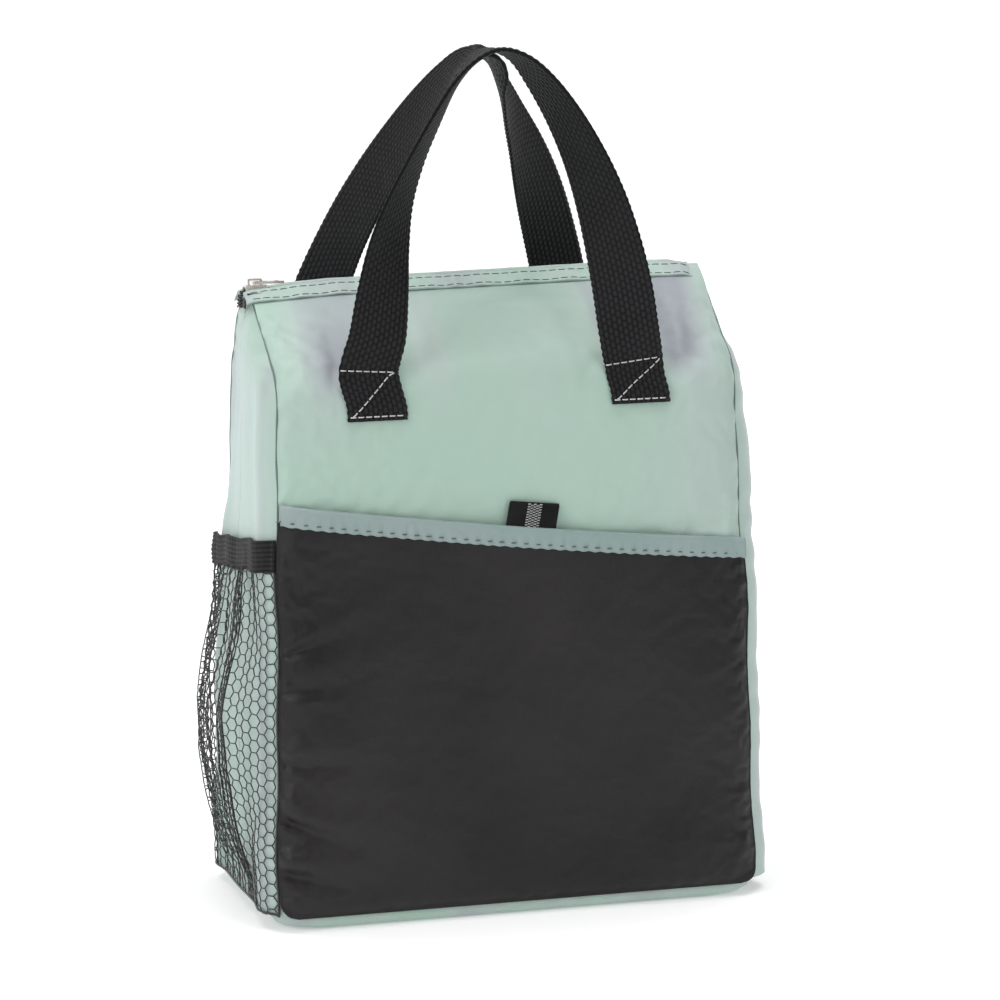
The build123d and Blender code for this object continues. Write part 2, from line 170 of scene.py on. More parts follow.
# ---- the walls without their padding -------------------------------------------------------------
def wall_profile(s):
    """y, z and outward normal (ny, nz) at arc length s up the front wall, without padding."""
    s = np.asarray(s, float)
    turn = np.clip((s - S_ARC) / ROUND, 0, LEAN)
    along = np.maximum(s - S_SLOPE, 0)
    y = -HALF_D + ROUND - ROUND * np.cos(turn) + along * math.sin(LEAN)
    z = BASE_Z + np.minimum(s, S_ARC) + ROUND * np.sin(turn) + along * math.cos(LEAN)
    return y, z, -np.cos(turn), np.sin(turn)


def off_wall(x, s, offset, rise=0.0):
    """Points at x and arc length s that stand off the front wall, and are lifted by rise."""
    y, z, ny, nz = wall_profile(s)
    return spread(x, y + ny * offset, z + nz * offset + rise)


def seam_x(z, side):
    """x of the side seam at height z: the bag narrows a little towards the top."""
    share = np.clip((z - BASE_Z) / (CREASE_Z - BASE_Z), 0, 1.15)
    wide, narrow = (HALF_W, HALF_W - 5.0) if side < 0 else (HALF_W + 0.6, HALF_W - 3.8)
    free = smooth(BASE_Z, BASE_Z + 14, z) * (1 - smooth(CREASE_Z - 30, CREASE_Z, z))
    waver = 0.9 * free * np.sin(z / 12.5 + side) * np.sin(z / 31.0 + 0.6)
    flare = 2.4 * smooth(CREASE_Z + 4, RIDGE_Z, z) * (side > 0)
    return side * (wide + (narrow - wide) * share + waver + flare)


def to_back(grid):
    """A front grid carried to the back, where the bag's left side is drawn in under the ridge."""
    x, y, z = np.moveaxis(grid * np.array([1, -1, 1]), -1, 0)
    high = smooth(105, 200, z) * (1 - smooth(CREASE_Z + 4, RIDGE_Z - 4, z))
    return np.stack([x + 4.4 * high * smooth(5, HALF_D, y) * smooth(40, 96, -x), y, z], -1)


def ridge_rise(x, s):
    """The ridge isn't quite level: it stands higher to the right."""
    rise = np.interp(x, [-96, -60, -8, 80, 97], [-1.4, 0.7, 1.6, 3.2, 2.6])
    return smooth(S_SLOPE - 10, S_TOP, s) * rise


def pocket_top(x):
    """Height of the pocket cloth's sloping top, a little hollow in the middle."""
    share = (x + HALF_W) / (2 * HALF_W)
    return POCKET_LEFT_Z + share * (POCKET_RIGHT_Z - POCKET_LEFT_Z) - 1.6 * np.sin(math.pi * share)


# ---- meshes --------------------------------------------------------------------------------------
def add_object(name, data):
    """A new object in the scene."""
    obj = bpy.data.objects.new(name, data)
    bpy.context.scene.collection.objects.link(obj)
    return obj


def make_object(name, points, faces, material, uv=None, tone=None):
    """A mesh object from points in millimetres. uv and tone are given per point."""
    mesh = bpy.data.meshes.new(name)
    mesh.from_pydata((np.asarray(points, float) * MM).tolist(), [], faces)
    mesh.validate()
    mesh.materials.append(material)
    mesh.polygons.foreach_set("use_smooth", [True] * len(mesh.polygons))
    if uv is not None:
        loops = np.empty(len(mesh.loops), int)
        mesh.loops.foreach_get("vertex_index", loops)
        layer = mesh.uv_layers.new(name="cloth")
        layer.data.foreach_set("uv", np.asarray(uv, float)[loops].ravel())
    if tone is not None:
        attribute = mesh.attributes.new("tone", "FLOAT", "POINT")
        attribute.data.foreach_set("value", np.asarray(tone, np.float32).ravel())
    mesh.update()
    return add_object(name, mesh)


def grid_faces(rows, cols, start=0):
    """Quads of a rows by cols grid of points."""
    r, c = np.meshgrid(np.arange(rows - 1), np.arange(cols - 1), indexing="ij")
    a = start + (r * cols + c).ravel()
    return np.stack([a, a + 1, a + cols + 1, a + cols], 1)


def slab(name, face, back, uv, material, tone=None):
    """A closed sheet between two grids of points, such as the two faces of a cloth."""
    rows, cols = face.shape[:2]
    count = rows * cols
    index = np.arange(count).reshape(rows, cols)
    rim = np.r_[index[0], index[1:, -1], index[-1, -2::-1], index[-2:0:-1, 0]].tolist()
    faces = [*grid_faces(rows, cols).tolist(), *grid_faces(rows, cols, count)[:, ::-1].tolist()]
    faces += [(a + count, b + count, b, a) for a, b in zip(rim, rim[1:] + rim[:1])]
    points = np.concatenate([face.reshape(-1, 3), back.reshape(-1, 3)])
    uv = np.tile(np.asarray(uv, float).reshape(-1, 2), (2, 1))
    tone = None if tone is None else np.tile(np.asarray(tone, float).ravel(), 2)
    return make_object(name, points, faces, material, uv, tone)


def tubes(name, lines, radius, material, sides=6):
    """One mesh of round threads, one along each line of points; radius may be one per point."""
    all_points, all_faces, all_uv, start = [], [], [], 0
    angles = np.linspace(0, TURN, sides, endpoint=False)
    cos, sin = np.cos(angles)[None, :, None], np.sin(angles)[None, :, None]
    for line in lines:
        steps = len(line)
        tangent = unit(np.gradient(line, axis=0))
        side = np.cross(tangent, [0.31, 0.17, 0.93])
        small = np.linalg.norm(side, axis=1) < 0.2
        side[small] = np.cross(tangent[small], [0.9, -0.4, 0.1])
        side = unit(side)
        ring = cos * side[:, None] + sin * np.cross(tangent, side)[:, None]
        thick = np.broadcast_to(radius, (steps,))[:, None, None]
        all_points.append((line[:, None] + ring * thick).reshape(-1, 3))
        i, j = np.meshgrid(np.arange(steps - 1), np.arange(sides), indexing="ij")
        a, b = i * sides + j, i * sides + (j + 1) % sides
        all_faces += (start + np.stack([a, b, b + sides, a + sides], -1).reshape(-1, 4)).tolist()
        end = start + (steps - 1) * sides
        all_faces += [list(range(start, start + sides))[::-1], list(range(end, end + sides))]
        all_uv.append(np.stack([np.tile(angles, steps), np.repeat(run_along(line), sides)], 1))
        start += steps * sides
    return make_object(name, np.concatenate(all_points), all_faces, material, np.concatenate(all_uv))


def curve_through(points, step):
    """A smooth line through given points, with any extra columns carried along."""
    points = np.asarray(points, float)
    padded = np.vstack([2 * points[0] - points[1], points, 2 * points[-1] - points[-2]])
    fine = []
    for i in range(len(points) - 1):
        p0, p1, p2, p3 = padded[i : i + 4]
        t = np.linspace(0, 1, 24, endpoint=False)[:, None]
        bend = (2 * p0 - 5 * p1 + 4 * p2 - p3) * t**2 + (3 * p1 - p0 - 3 * p2 + p3) * t**3
        fine.append(0.5 * (2 * p1 + (p2 - p0) * t + bend))
    return resample(np.vstack([*fine, points[-1:]]), step)


def stitches(name, lines, material, length, gap, radius, lift):
    """Separate sunk-ended thread stitches along lines of (x, y, z, nx, ny, nz)."""
    threads = []
    t = np.linspace(0, 1, 7)
    rise = lift * np.sin(math.pi * t) ** 0.6 - 0.12
    for line in lines:
        fine = resample(line, 0.25)
        run = 0.25 * np.arange(len(fine))
        at = 0.4
        while at + length < run[-1]:
            where = columns_at(at + t * length, run, fine)
            threads.append(where[:, :3] + where[:, 3:] * rise[:, None])
            at += length + gap
    return tubes(name, threads, radius, material)


# ---- materials -----------------------------------------------------------------------------------
class Nodes:
    """Short names for building one material's node tree."""

    def __init__(self, name, roughness, metallic=0.0, sheen=0.0, sheen_tint=(1, 1, 1)):
        self.material = bpy.data.materials.new(name)
        self.material.use_nodes = True
        self.tree = self.material.node_tree
        self.shader = self.tree.nodes["Principled BSDF"]
        self.set(self.shader, {"Roughness": roughness, "Metallic": metallic, "Sheen Weight": sheen,
                               "Sheen Tint": (*sheen_tint, 1), "Sheen Roughness": 0.4})

    def set(self, node, values):
        """Gives a node's inputs their values; a value may also be another node's output."""
        for socket, value in values.items():
            if isinstance(value, bpy.types.NodeSocket):
                self.tree.links.new(value, node.inputs[socket])
            else:
                node.inputs[socket].default_value = value

    def shade(self, **values):
        """Sets inputs of the shader; their names have _ for each space."""
        self.set(self.shader, {socket.replace("_", " "): value for socket, value in values.items()})

    def add(self, kind, output, inputs, **settings):
        """A new node with its inputs set; gives back one of its outputs."""
        node = self.tree.nodes.new("ShaderNode" + kind)
        for key, value in settings.items():
            setattr(node, key, value)
        self.set(node, inputs)
        return node.outputs[output]

    def coordinates(self, space="UV"):
        return self.add("TexCoord", space, {})

    def noise(self, vector, scale, detail=3.0):
        return self.add("TexNoise", "Fac", {"Scale": scale, "Detail": detail, "Vector": vector})

    def wave(self, vector, pitch, direction, distortion=0.0):
        """Sine ridges with the given pitch in the vector's units."""
        inputs = {"Scale": math.pi / 10 / pitch, "Distortion": distortion, "Vector": vector}
        return self.add("TexWave", "Fac", inputs, bands_direction=direction)

    def math(self, operation, a, b):
        return self.add("Math", 0, {0: a, 1: b}, operation=operation)

    def remap(self, value, low, high, to_low=0.0, to_high=1.0):
        inputs = {"Value": value, "From Min": low, "From Max": high, "To Min": to_low, "To Max": to_high}
        return self.add("MapRange", "Result", inputs)

    def mix(self, factor, first, second):
        colours = [(*c, 1) if isinstance(c, tuple) else c for c in (first, second)]
        inputs = {"Factor": factor, 6: colours[0], 7: colours[1]}
        return self.add("Mix", 2, inputs, data_type="RGBA")

    def tone(self):
        return self.add("Attribute", "Fac", {}, attribute_name="tone")

    def bump(self, height, strength, distance):
        inputs = {"Strength": strength, "Distance": distance, "Height": height}
        self.shade(Normal=self.add("Bump", "Normal", inputs))


def woven(name, base, shade, pitch, roughness, sheen, tint, depth=0.00006, cloudy=0.012,
          toned=False, specular=0.5, painted_shade_colour=None):
    """Plain-weave cloth: crossing threads, soft random patches of a second colour, painted light where the
    piece has a tone, and fine speckle.
    """
    n = Nodes(name, roughness, sheen=sheen, sheen_tint=tint)
    uv = n.coordinates()
    warp, weft = n.wave(uv, pitch, "X", 0.3), n.wave(uv, pitch * 0.86, "Y", 0.3)
    height = n.math("MULTIPLY", n.math("ADD", warp, weft), 0.5)
    clouds_and_painted_light = n.remap(n.noise(uv, cloudy, 2), 0.36, 0.66)
    # A piece's tone adds the second colour as painted light: shade, sheen and reflection on the mint cloth,
    # highlights and shade on the webbing and the elastic.
    if toned:
        clouds_and_painted_light = n.math("MINIMUM", n.math("ADD", n.math("MULTIPLY", clouds_and_painted_light, 0.10), n.tone()), 1.0)
    cloth = n.mix(clouds_and_painted_light, base, shade)
    if painted_shade_colour:  # painted shade: a dark lilac-grey where the tone is strongest
        cloth = n.mix(n.remap(clouds_and_painted_light, 0.38, 1.2), cloth, painted_shade_colour)
    # Darker where the weave's height is low: painted shade between the threads. The speckle darkens at
    # random.
    threads = n.remap(height, 0.15, 0.85, 0.16, 0.0)
    speckle = n.remap(n.noise(uv, 2.2, 4), 0.35, 0.75, 0.0, 0.10)
    darker = tuple(0.80 * c for c in base)
    n.shade(Specular_IOR_Level=specular,
            Base_Color=n.mix(n.math("ADD", threads, speckle), cloth, darker),
            Roughness=n.remap(n.noise(uv, 0.6, 3), 0.3, 0.7, roughness - 0.05, roughness + 0.07))
    n.bump(n.math("ADD", height, n.math("MULTIPLY", n.noise(uv, 0.8, 3), 0.7)), 0.5, depth)
    return n.material


def thread_material(name, colour, shade):
    """Twisted sewing thread."""
    n = Nodes(name, 0.55, sheen=0.4)
    twist = n.wave(n.coordinates(), 0.8, "DIAGONAL")
    # The thread is darker along the grooves of its twist: painted shade.
    n.shade(Base_Color=n.mix(twist, shade, colour))
    n.bump(twist, 0.6, 0.00005)
    return n.material


def nylon_material():
    """Smooth black zipper coil with a slight haze."""
    n = Nodes("coil_nylon_black", 0.38)
    haze = n.noise(n.coordinates("Object"), 900, 3)
    n.shade(Base_Color=n.mix(haze, (0.010, 0.010, 0.011), (0.030, 0.030, 0.032)))
    n.bump(haze, 0.3, 0.00004)
    return n.material


def metal_material():
    """Nickel plate: bright, faintly warm, with fine scratches and duller patches."""
    n = Nodes("nickel_plate", 0.24, metallic=1.0)
    place = n.coordinates("Object")
    scratch = n.noise(place, 1400, 6)
    patch = n.remap(n.noise(place, 260, 3), 0.35, 0.7)
    n.shade(Base_Color=n.mix(patch, (0.80, 0.76, 0.70), (0.58, 0.54, 0.49)),
            Roughness=n.remap(scratch, 0.3, 0.7, 0.14, 0.36))
    n.bump(scratch, 0.25, 0.00003)
    return n.material


MINT = (0.372, 0.532, 0.445)
# LILAC is the mint cloth's second colour: in random patches, and as painted shade and sheen where the cloth
# has a tone.
LILAC = (0.480, 0.500, 0.530)
BLACK = (0.0105, 0.0093, 0.0105)
WHITE = (1, 1, 1)
GREY = (0.5, 0.5, 0.5)
BLUE_GREY = (0.5, 0.5, 0.55)

mint_cloth = woven("mint_satin", MINT, LILAC, 0.55, 0.42, 0.35, (0.80, 0.80, 0.95), toned=True,
                   painted_shade_colour=(0.22, 0.23, 0.285))
mint_trim = woven("mint_binding", (0.225, 0.322, 0.302), (0.30, 0.355, 0.355), 0.55, 0.5, 0.3,
                  (0.8, 0.85, 0.95))
pocket_cloth = woven("pocket_black", BLACK, (0.020, 0.018, 0.0195), 0.62, 0.40, 0.05,
                     (0.55, 0.5, 0.55), depth=0.00008, specular=0.26)
liner_film = woven("liner_silver", (0.62, 0.63, 0.64), (0.50, 0.51, 0.53), 1.6, 0.32, 0.0, WHITE,
                   depth=0.0003, cloudy=0.05)
foam_white = woven("foam_white", (0.80, 0.80, 0.77), (0.70, 0.70, 0.66), 0.9, 0.9, 0.0, WHITE,
                   depth=0.0002, cloudy=0.2)
# The webbing's second colour, mixed in by its tone, is a painted highlight on the raised threads of the
# weave.
webbing_black = woven("webbing_black", (0.0012, 0.0012, 0.0015), (0.025, 0.025, 0.027), 0.36, 0.40,
                      0.0, BLUE_GREY, depth=0.0001, cloudy=0.08, toned=True, specular=0.13)
# The elastic's second colour, mixed in by its tone, is a painted highlight on the tops of its ribs.
elastic_black = woven("elastic_black", (0.003, 0.003, 0.003), (0.023, 0.0215, 0.0225), 0.45, 0.6,
                      0.05, GREY, depth=0.0001, cloudy=0.08, toned=True, specular=0.12)
ribbon_black = woven("ribbon_black", (0.006, 0.0055, 0.006), (0.012, 0.0115, 0.012), 0.5, 0.5, 0.03,
                     BLUE_GREY, depth=0.0001, cloudy=0.1, specular=0.12)
tape_black = woven("zip_tape_black", (0.014, 0.014, 0.015), (0.022, 0.022, 0.024), 0.4, 0.6, 0.25,
                   GREY, cloudy=0.1)
thread_white = thread_material("thread_white", (0.72, 0.72, 0.70), (0.48, 0.48, 0.46))
thread_dark = thread_material("thread_grey_green", (0.10, 0.145, 0.135), (0.05, 0.075, 0.07))
# A dark cord laid in the groove of each side seam as painted shade.
seam_shadow_thread = thread_material("seam_shadow_grey_green", (0.17, 0.24, 0.22), (0.08, 0.12, 0.11))
thread_grey = thread_material("thread_stripe_grey", (0.42, 0.43, 0.43), (0.25, 0.26, 0.26))
net_thread = thread_material("net_thread_black", (0.022, 0.022, 0.024), (0.012, 0.012, 0.013))
coil_nylon = nylon_material()
nickel = metal_material()


# ---- cloth that is a little too large for its seams ----------------------------------------------
class Folds:
    """The fine folds a sewn cloth settles into, found by running Blender's cloth solver once.

    The cloth is held along its seams, cut a little too large and pushed gently from behind. Only
    the folds are kept: the broad bulge is taken out, as each panel has its own padded shape.
    """

    CELL = 2.2
    FRAMES = 9

    def __init__(self, surface, size, seed, held=lambda u, v: False):
        cols, rows = (int(length / self.CELL) + 1 for length in size)
        u, v = np.meshgrid(np.linspace(0, 1, cols), np.linspace(0, 1, rows))
        self.fold = np.zeros((rows, cols))
        rest = surface(u, v)
        normal = unit(np.cross(np.gradient(rest, axis=1), np.gradient(rest, axis=0)))
        rng = np.random.default_rng(seed)
        start = rest + normal * (0.75 * soften(rng.normal(size=(rows, cols)), 2))[..., None]
        mesh = bpy.data.meshes.new("settling")
        mesh.from_pydata((start.reshape(-1, 3) * MM).tolist(), [], grid_faces(rows, cols).tolist())
        cloth = add_object("settling", mesh)
        pins = cloth.vertex_groups.new(name="sewn")
        fixed = held(u, v) | (u == 0) | (u == 1) | (v == 0) | (v == 1)
        pins.add(np.flatnonzero(fixed.ravel()).tolist(), 1.0, "REPLACE")
        solver = cloth.modifiers.new("cloth", "CLOTH")
        solver.settings.vertex_group_mass = "sewn"
        solver.settings.quality = 4
        solver.settings.mass = 0.1
        solver.settings.bending_stiffness = 0.4
        solver.settings.shrink_min = -0.028
        solver.settings.use_pressure = True
        solver.settings.uniform_pressure_force = 0.3
        solver.settings.effector_weights.gravity = 0
        solver.collision_settings.use_collision = False
        solver.point_cache.frame_end = self.FRAMES
        for frame_number in range(1, self.FRAMES + 1):
            bpy.context.scene.frame_set(frame_number)
        settled = cloth.evaluated_get(bpy.context.evaluated_depsgraph_get()).data
        points = np.empty(rows * cols * 3)
        settled.vertices.foreach_get("co", points)
        bpy.data.objects.remove(cloth)
        bpy.context.scene.frame_set(1)
        offset = ((points.reshape(rows, cols, 3) / MM - rest) * normal).sum(axis=2)
        self.fold = np.clip(soften(offset - soften(offset, 6), 1), -1.8, 1.8)

    def at(self, u, v):
        """The fold's height where the panel is u of the way across and v of the way up."""
        rows, cols = self.fold.shape
        across, up = np.broadcast_arrays(np.clip(u, 0, 1) * (cols - 1), np.clip(v, 0, 1) * (rows - 1))
        i, j = np.minimum(up.astype(int), rows - 2), np.minimum(across.astype(int), cols - 2)
        a, b = up - i, across - j
        low, high = (self.fold[k, j] * (1 - b) + self.fold[k, j + 1] * b for k in (i, i + 1))
        return low * (1 - a) + high * a


def bend_with_flap(piece):
    """The piece's placement is baked into its mesh."""
    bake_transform(piece)


def pillow(distance, reach=7.0):
    """How full the padding is at a distance from the nearest seam, 0 to 1."""
    return 1 - np.exp(-np.maximum(distance, 0) / reach)


def gathers(along, distance, seed, pitch, reach=9.0):
    """Short folds that run in from a seam where the cloth was sewn in."""
    rng = np.random.default_rng(seed)
    phase = waves(along, 0, seed + 1, 55) * 1.6
    fold = np.sin(TURN * along / pitch + phase) * (0.55 + 0.45 * waves(along, 0, seed, 40))
    lengths = reach * (1 + 0.35 * np.sin(along / rng.uniform(15, 22)))
    return fold * np.exp(-distance / lengths) * (1 - np.exp(-distance / 1.2))


def pulled(x, s, depth, x_low, x_high, left, right):
    """A hollow from a handle's sewn corner up to the ridge, of its own width on each side."""
    low = S_ARC - 4
    share = np.clip((s - low) / (S_TOP - low), 0, 1)
    axis = x_low + (x_high - x_low) * share
    width = np.where(x < axis, left, right) * (0.65 + 0.35 * share)
    return depth * np.exp(-(((x - axis) / width) ** 2)) * smooth(low, low + 24, s)


HOLLOWS = [(2.3, -74, -85, 9, 17), (1.1, -38, -36, 12, 7), (2.3, 70, 84, 15, 10), (1.1, 36, 28, 8, 12),
           (1.2, -72, -63, 5, 8), (1.2, 72, 81, 7, 5), (1.2, 47, 45, 4, 4)]


def front_relief(x, s, edge):
    """Outward offset of the front panel's cloth, edge away from the nearest side seam."""
    full = -SEAM_DEPTH + (SEAM_DEPTH + 2.2) * pillow(edge, 4.0)
    full += 0.75 * gathers(s, edge, 11, 17, 12) + 0.5 * waves(x, s, 12, 95) * pillow(edge, 20)
    # The cloth hollows beside the handles and rides up under the zip strip.
    full -= sum(pulled(x, s, *hollow) for hollow in HOLLOWS)
    full += 0.5 * smooth(S_ARC - 8, S_TOP - 8, s) * bump(x, -5, 40)
    full += 0.35 * np.sin(x / 6.4 + 2 * waves(x, s, 14, 60)) * smooth(S_TOP - 22, S_TOP - 9, s)
    return full - 0.7 * bump(x, -88, 6) * smooth(130, 190, s)


def back_relief(x, s, edge):
    """Outward offset of the back panel's cloth, edge away from the nearest side seam."""
    full = -SEAM_DEPTH + (SEAM_DEPTH + 1.8) * pillow(edge)
    full += 0.4 * gathers(s, edge, 21, 15) + 0.7 * waves(x, s, 22, 80) * pillow(edge, 20)
    full -= 0.9 * bump(s, 60 + 0.25 * x, 9) * pillow(edge, 25)
    return full - 1.1 * smooth(S_ARC, S_TOP - 8, s) * (bump(x, -80, 13) + bump(x, 80, 13))


def wall_relief(face, x, s, z):
    """Outward offset of a front or back panel's cloth; it thins out under the zip strip."""
    edge = np.minimum(x - seam_x(z, -1), seam_x(z, 1) - x)
    full = (front_relief if face == "front" else back_relief)(x, s, edge)
    thin = smooth(S_TOP - 26, S_TOP - 7, s)
    return full * (1 - thin) - 0.7 * thin


def gusset_relief(y, s, side, depth=0.0):
    """Sideways offset of a gusset's cloth from its seams at signed y, for the layer at a depth."""
    edge_y, _, ny, _ = wall_profile(s)
    edge = (np.abs(edge_y) - np.abs(ny) * (SEAM_DEPTH + depth) - np.abs(y)) * np.abs(ny)
    edge = np.maximum(edge, 0)
    rear = smooth(-25, 35, y) * smooth(100, 200, s)
    if side > 0:
        seed, full = 50, (8.4 - 3.6 * smooth(165, 225, s)) * pillow(edge, 5.0) * (1 - 0.4 * rear)
    else:
        seed, full = 40, 4.8 * pillow(edge, 5.0) * (1 - 1.1 * rear)
    full += 0.8 * np.where(y < 0, gathers(s, edge, seed, 16, 11), gathers(s, edge, seed + 5, 16, 11))
    full += 1.6 * bump(np.abs(y), 47, 9) * smooth(S_TOP - 12, S_ARC - 25, s) * (1 - rear)
    full += 0.4 * waves(y, s, seed + 3, 70) * pillow(edge, 18)
    return full - 2.2 * smooth(S_SLOPE + 6, S_TOP, s) * (1 - smooth(2, 20, np.abs(y)))


def wall_shade_and_sheen(x, s):
    """Painted shade and sheen on the front cloth: lilac-grey in the hollows beside the handles and under the
    ridge, a painted reflection on the right-hand side, and a faint random waver.
    """
    high = smooth(S_ARC - 20, S_ARC + 25, s)
    share = np.clip((s - S_ARC) / (S_TOP - S_ARC), 0, 1)
    beside = bump(x, -68 + 11 * share, 8 + 6 * share) + bump(x, 69 + 10 * share, 8 + 6 * share)
    tone = 0.42 * high * (bump(x, -76, 9) + bump(x, 79, 11)) + 0.4 * high * bump(x, -30, 9)
    tone += smooth(S_ARC, S_ARC + 22, s) * (0.66 * beside + 0.5 * bump(x, 47 - 2 * share, 6.5))
    tone += 0.36 * bump(x, 84, 22) * bump(s, 165, 55) + 0.06 * waves(x, s, 31, 90) + 0.06
    return np.clip(tone, 0, 0.92)


def panel_surface(face):
    """The front or back wall as a surface of u across and v up."""

    def surface(u, v):
        z = wall_profile(v * S_TOP)[1]
        left, right = seam_x(z, -1), seam_x(z, 1)
        x = left + (right - left) * u
        return off_wall(x, v * S_TOP, wall_relief(face, x, v * S_TOP, z))

    return surface


def gusset_surface(side):
    """A whole side wall as a surface of u from its front seam to its back one and v up."""

    def surface(u, v):
        s = v * S_TOP
        y, z, ny, nz = wall_profile(s)
        y = (y - ny * SEAM_DEPTH) * (1 - 2 * u)
        return np.stack([seam_x(z, side) + side * gusset_relief(y, s, side), y, z - nz * SEAM_DEPTH], -1)

    return surface


def under_handles(u, v):
    """Where a handle's end is sewn to the panel."""
    x, s = (2 * u - 1) * (HALF_W - 3), v * S_TOP
    return (np.abs(np.abs(x) - HANDLE_X) < WEBBING / 2) & (np.abs(s - (HANDLE_Z - BASE_Z)) < 8)


FOLDS = {
    "front": Folds(panel_surface("front"), (2 * HALF_W, S_TOP), 3, under_handles),
    "back": Folds(panel_surface("back"), (2 * HALF_W, S_TOP), 4, under_handles),
    "left": Folds(gusset_surface(-1), (2 * HALF_D, S_TOP), 5),
    "right": Folds(gusset_surface(1), (2 * HALF_D, S_TOP), 6),
}


def wall_grid(face, depth, relief_share, s_ends, nx, ns):
    """Points of one layer of the front wall; depth is measured into the bag."""
    s = np.linspace(*s_ends, ns)[:, None]
    z = wall_profile(s)[1]
    left, right = seam_x(z, -1) + min(depth, 4.0), seam_x(z, 1) - min(depth, 4.0)
    share = np.sin(np.linspace(-math.pi / 2, math.pi / 2, nx))
    x = (left + right) / 2 + (right - left) / 2 * share
    s = s + 0 * x
    edge = np.minimum(x - left, right - x)
    calm = 0.30 if face == "front" else 0.24
    folds = FOLDS[face].at((x - left) / (right - left), s / S_TOP)
    folds = folds * (calm + 0.45 * np.exp(-edge / 24)) * (1 - smooth(S_TOP - 30, S_TOP - 10, s))
    offset = (wall_relief(face, x, s, z) + folds) * relief_share
    if face == "front":  # the wall lies flatter where the pocket covers it
        covered = 1 - smooth(pocket_top(x) - 9, pocket_top(x) - 1, z)
        offset = offset + covered * (np.minimum(offset, BEHIND_POCKET) - offset)
    return off_wall(x, s, offset - depth, ridge_rise(x, s)), np.stack([x, s], -1), wall_shade_and_sheen(x, s)


def gusset_grid(side_name, face, depth, relief_share, s_ends, nt, ns):
    """Points of one layer of the front half of a side wall."""
    side = SIDES[side_name]
    s = np.linspace(*s_ends, ns)[:, None]
    y, z, ny, nz = wall_profile(s)
    edge_y, edge_z = y - ny * (SEAM_DEPTH + depth), z - nz * (SEAM_DEPTH + depth)
    y = edge_y * np.cos(np.linspace(0, math.pi / 2, nt))
    s_all = s + 0 * y
    signed = -y if face == "back" else y
    folds = FOLDS[side_name].at(0.5 + 0.5 * signed / np.abs(edge_y), s_all / S_TOP)
    offset = (gusset_relief(signed, s_all, side, depth) + 0.08 * folds) * relief_share - depth
    edge_x = seam_x(z, side)
    # Painted sheen: a lilac-grey band on the roll beside the wall seam, with a faint random waver.
    tone = 0.04 + 0.45 * bump(y, -52, 7) + 0.06 * waves(signed, s_all, 45, 90)
    grid = spread(edge_x + side * offset, y, edge_z + ridge_rise(edge_x, s))
    return grid, np.stack([y, s_all], -1), np.clip(tone, 0, 0.9)


# name of the layer: depths of its outer and inner face, material, share of the relief it follows
LAYERS = {"outer": (0.0, SKIN, mint_cloth, 1.0),
          "foam": (SKIN + 0.1, SKIN + FOAM - 0.5, foam_white, 0.8),
          "liner": (SKIN + FOAM + 0.1, WALL, liner_film, 0.8)}


def make_layer(name, face, layer, grid_of, fine_size, plain_size, plain_top, mirrored):
    """One layer of a wall. grid_of gives its points; fine_size and plain_size are its numbers of points, for
    the outer cloth and for the other layers.
    """
    depth_from, depth_to, material, share = LAYERS[layer]
    fine = layer == "outer"
    s_ends = (-1.5, S_TOP) if fine else (0.5, plain_top)
    size = fine_size if fine else plain_size
    outside, uv, tone = grid_of(face, depth_from, share, s_ends, *size)
    inside = grid_of(face, depth_to, share, s_ends, *size)[0]
    if face == "back":
        outside, inside = to_back(outside), to_back(inside)
    if mirrored:
        outside, inside = inside, outside
    piece = slab(f"{name}_{layer}", outside, inside, uv, material, tone)
    bend_with_flap(piece)
    return piece


def make_wall(face, layer):
    """One layer of the front or back wall, from the base to the ridge in one piece."""
    piece = make_layer(f"{face}_wall", face, layer, wall_grid, (150, 190), (60, 90), S_TOP - 4,
                       face == "back")
    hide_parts(f"{face}_{layer}", f"{face}_flap_{layer}")


def make_gusset(side_name, face, layer):
    """One layer of half a side wall, from the front or back seam to the middle."""

    def grid_of(*numbers):
        return gusset_grid(side_name, *numbers)

    mirrored = (side_name == "right") == (face == "back")
    piece = make_layer(f"{side_name}_gusset_{face}_half", face, layer, grid_of, (70, 170), (26, 80),
                       S_TOP - 12, mirrored)
    if face == "front":
        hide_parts(f"{side_name}_gusset_{layer}")


def make_seam_shadow_line(side_name, face):
    """A dark grey-green cord at the bottom of the groove between a wall and a gusset: painted shade, a dark
    line that stands in for the groove's shadow.
    """
    s = np.arange(-1.0, S_TOP, 1.5)
    x = seam_x(wall_profile(s)[1], SIDES[side_name])
    line = off_wall(x, s, -SEAM_DEPTH, ridge_rise(x, s))
    if face == "back":
        line = to_back(line)
    cord = tubes(f"{side_name}_{face}_seam", [line], 0.36 + 0.08 * np.sin(s / 3.1), seam_shadow_thread)
    bend_with_flap(cord)


for face in FACES:
    for layer in LAYERS:
        make_wall(face, layer)
        for side_name in SIDES:
            make_gusset(side_name, face, layer)
    for side_name in SIDES:
        make_seam_shadow_line(side_name, face)


# ---- base ----------------------------------------------------------------------------------------
RING = 520  # points round each ring


def ring_points(inset_x, inset_y, radius, z):
    """A rounded rectangle at height z, drawn in by two insets from the foot of the walls."""
    arcs = []
    for quarter, (sx, sy) in enumerate(((1, 1), (-1, 1), (-1, -1), (1, -1))):
        a = np.linspace(quarter, quarter + 1, 11) * math.pi / 2
        x = sx * (HALF_W - inset_x - radius) + radius * np.cos(a)
        y = sy * (HALF_D - inset_y - radius) + radius * np.sin(a)
        arcs.append(spread(x, y, z))
    loop = resample(np.vstack([*arcs, arcs[0][:1]]), 1.0)
    at = np.linspace(0, len(loop) - 1, RING, endpoint=False)
    return columns_at(at, np.arange(len(loop)), loop)


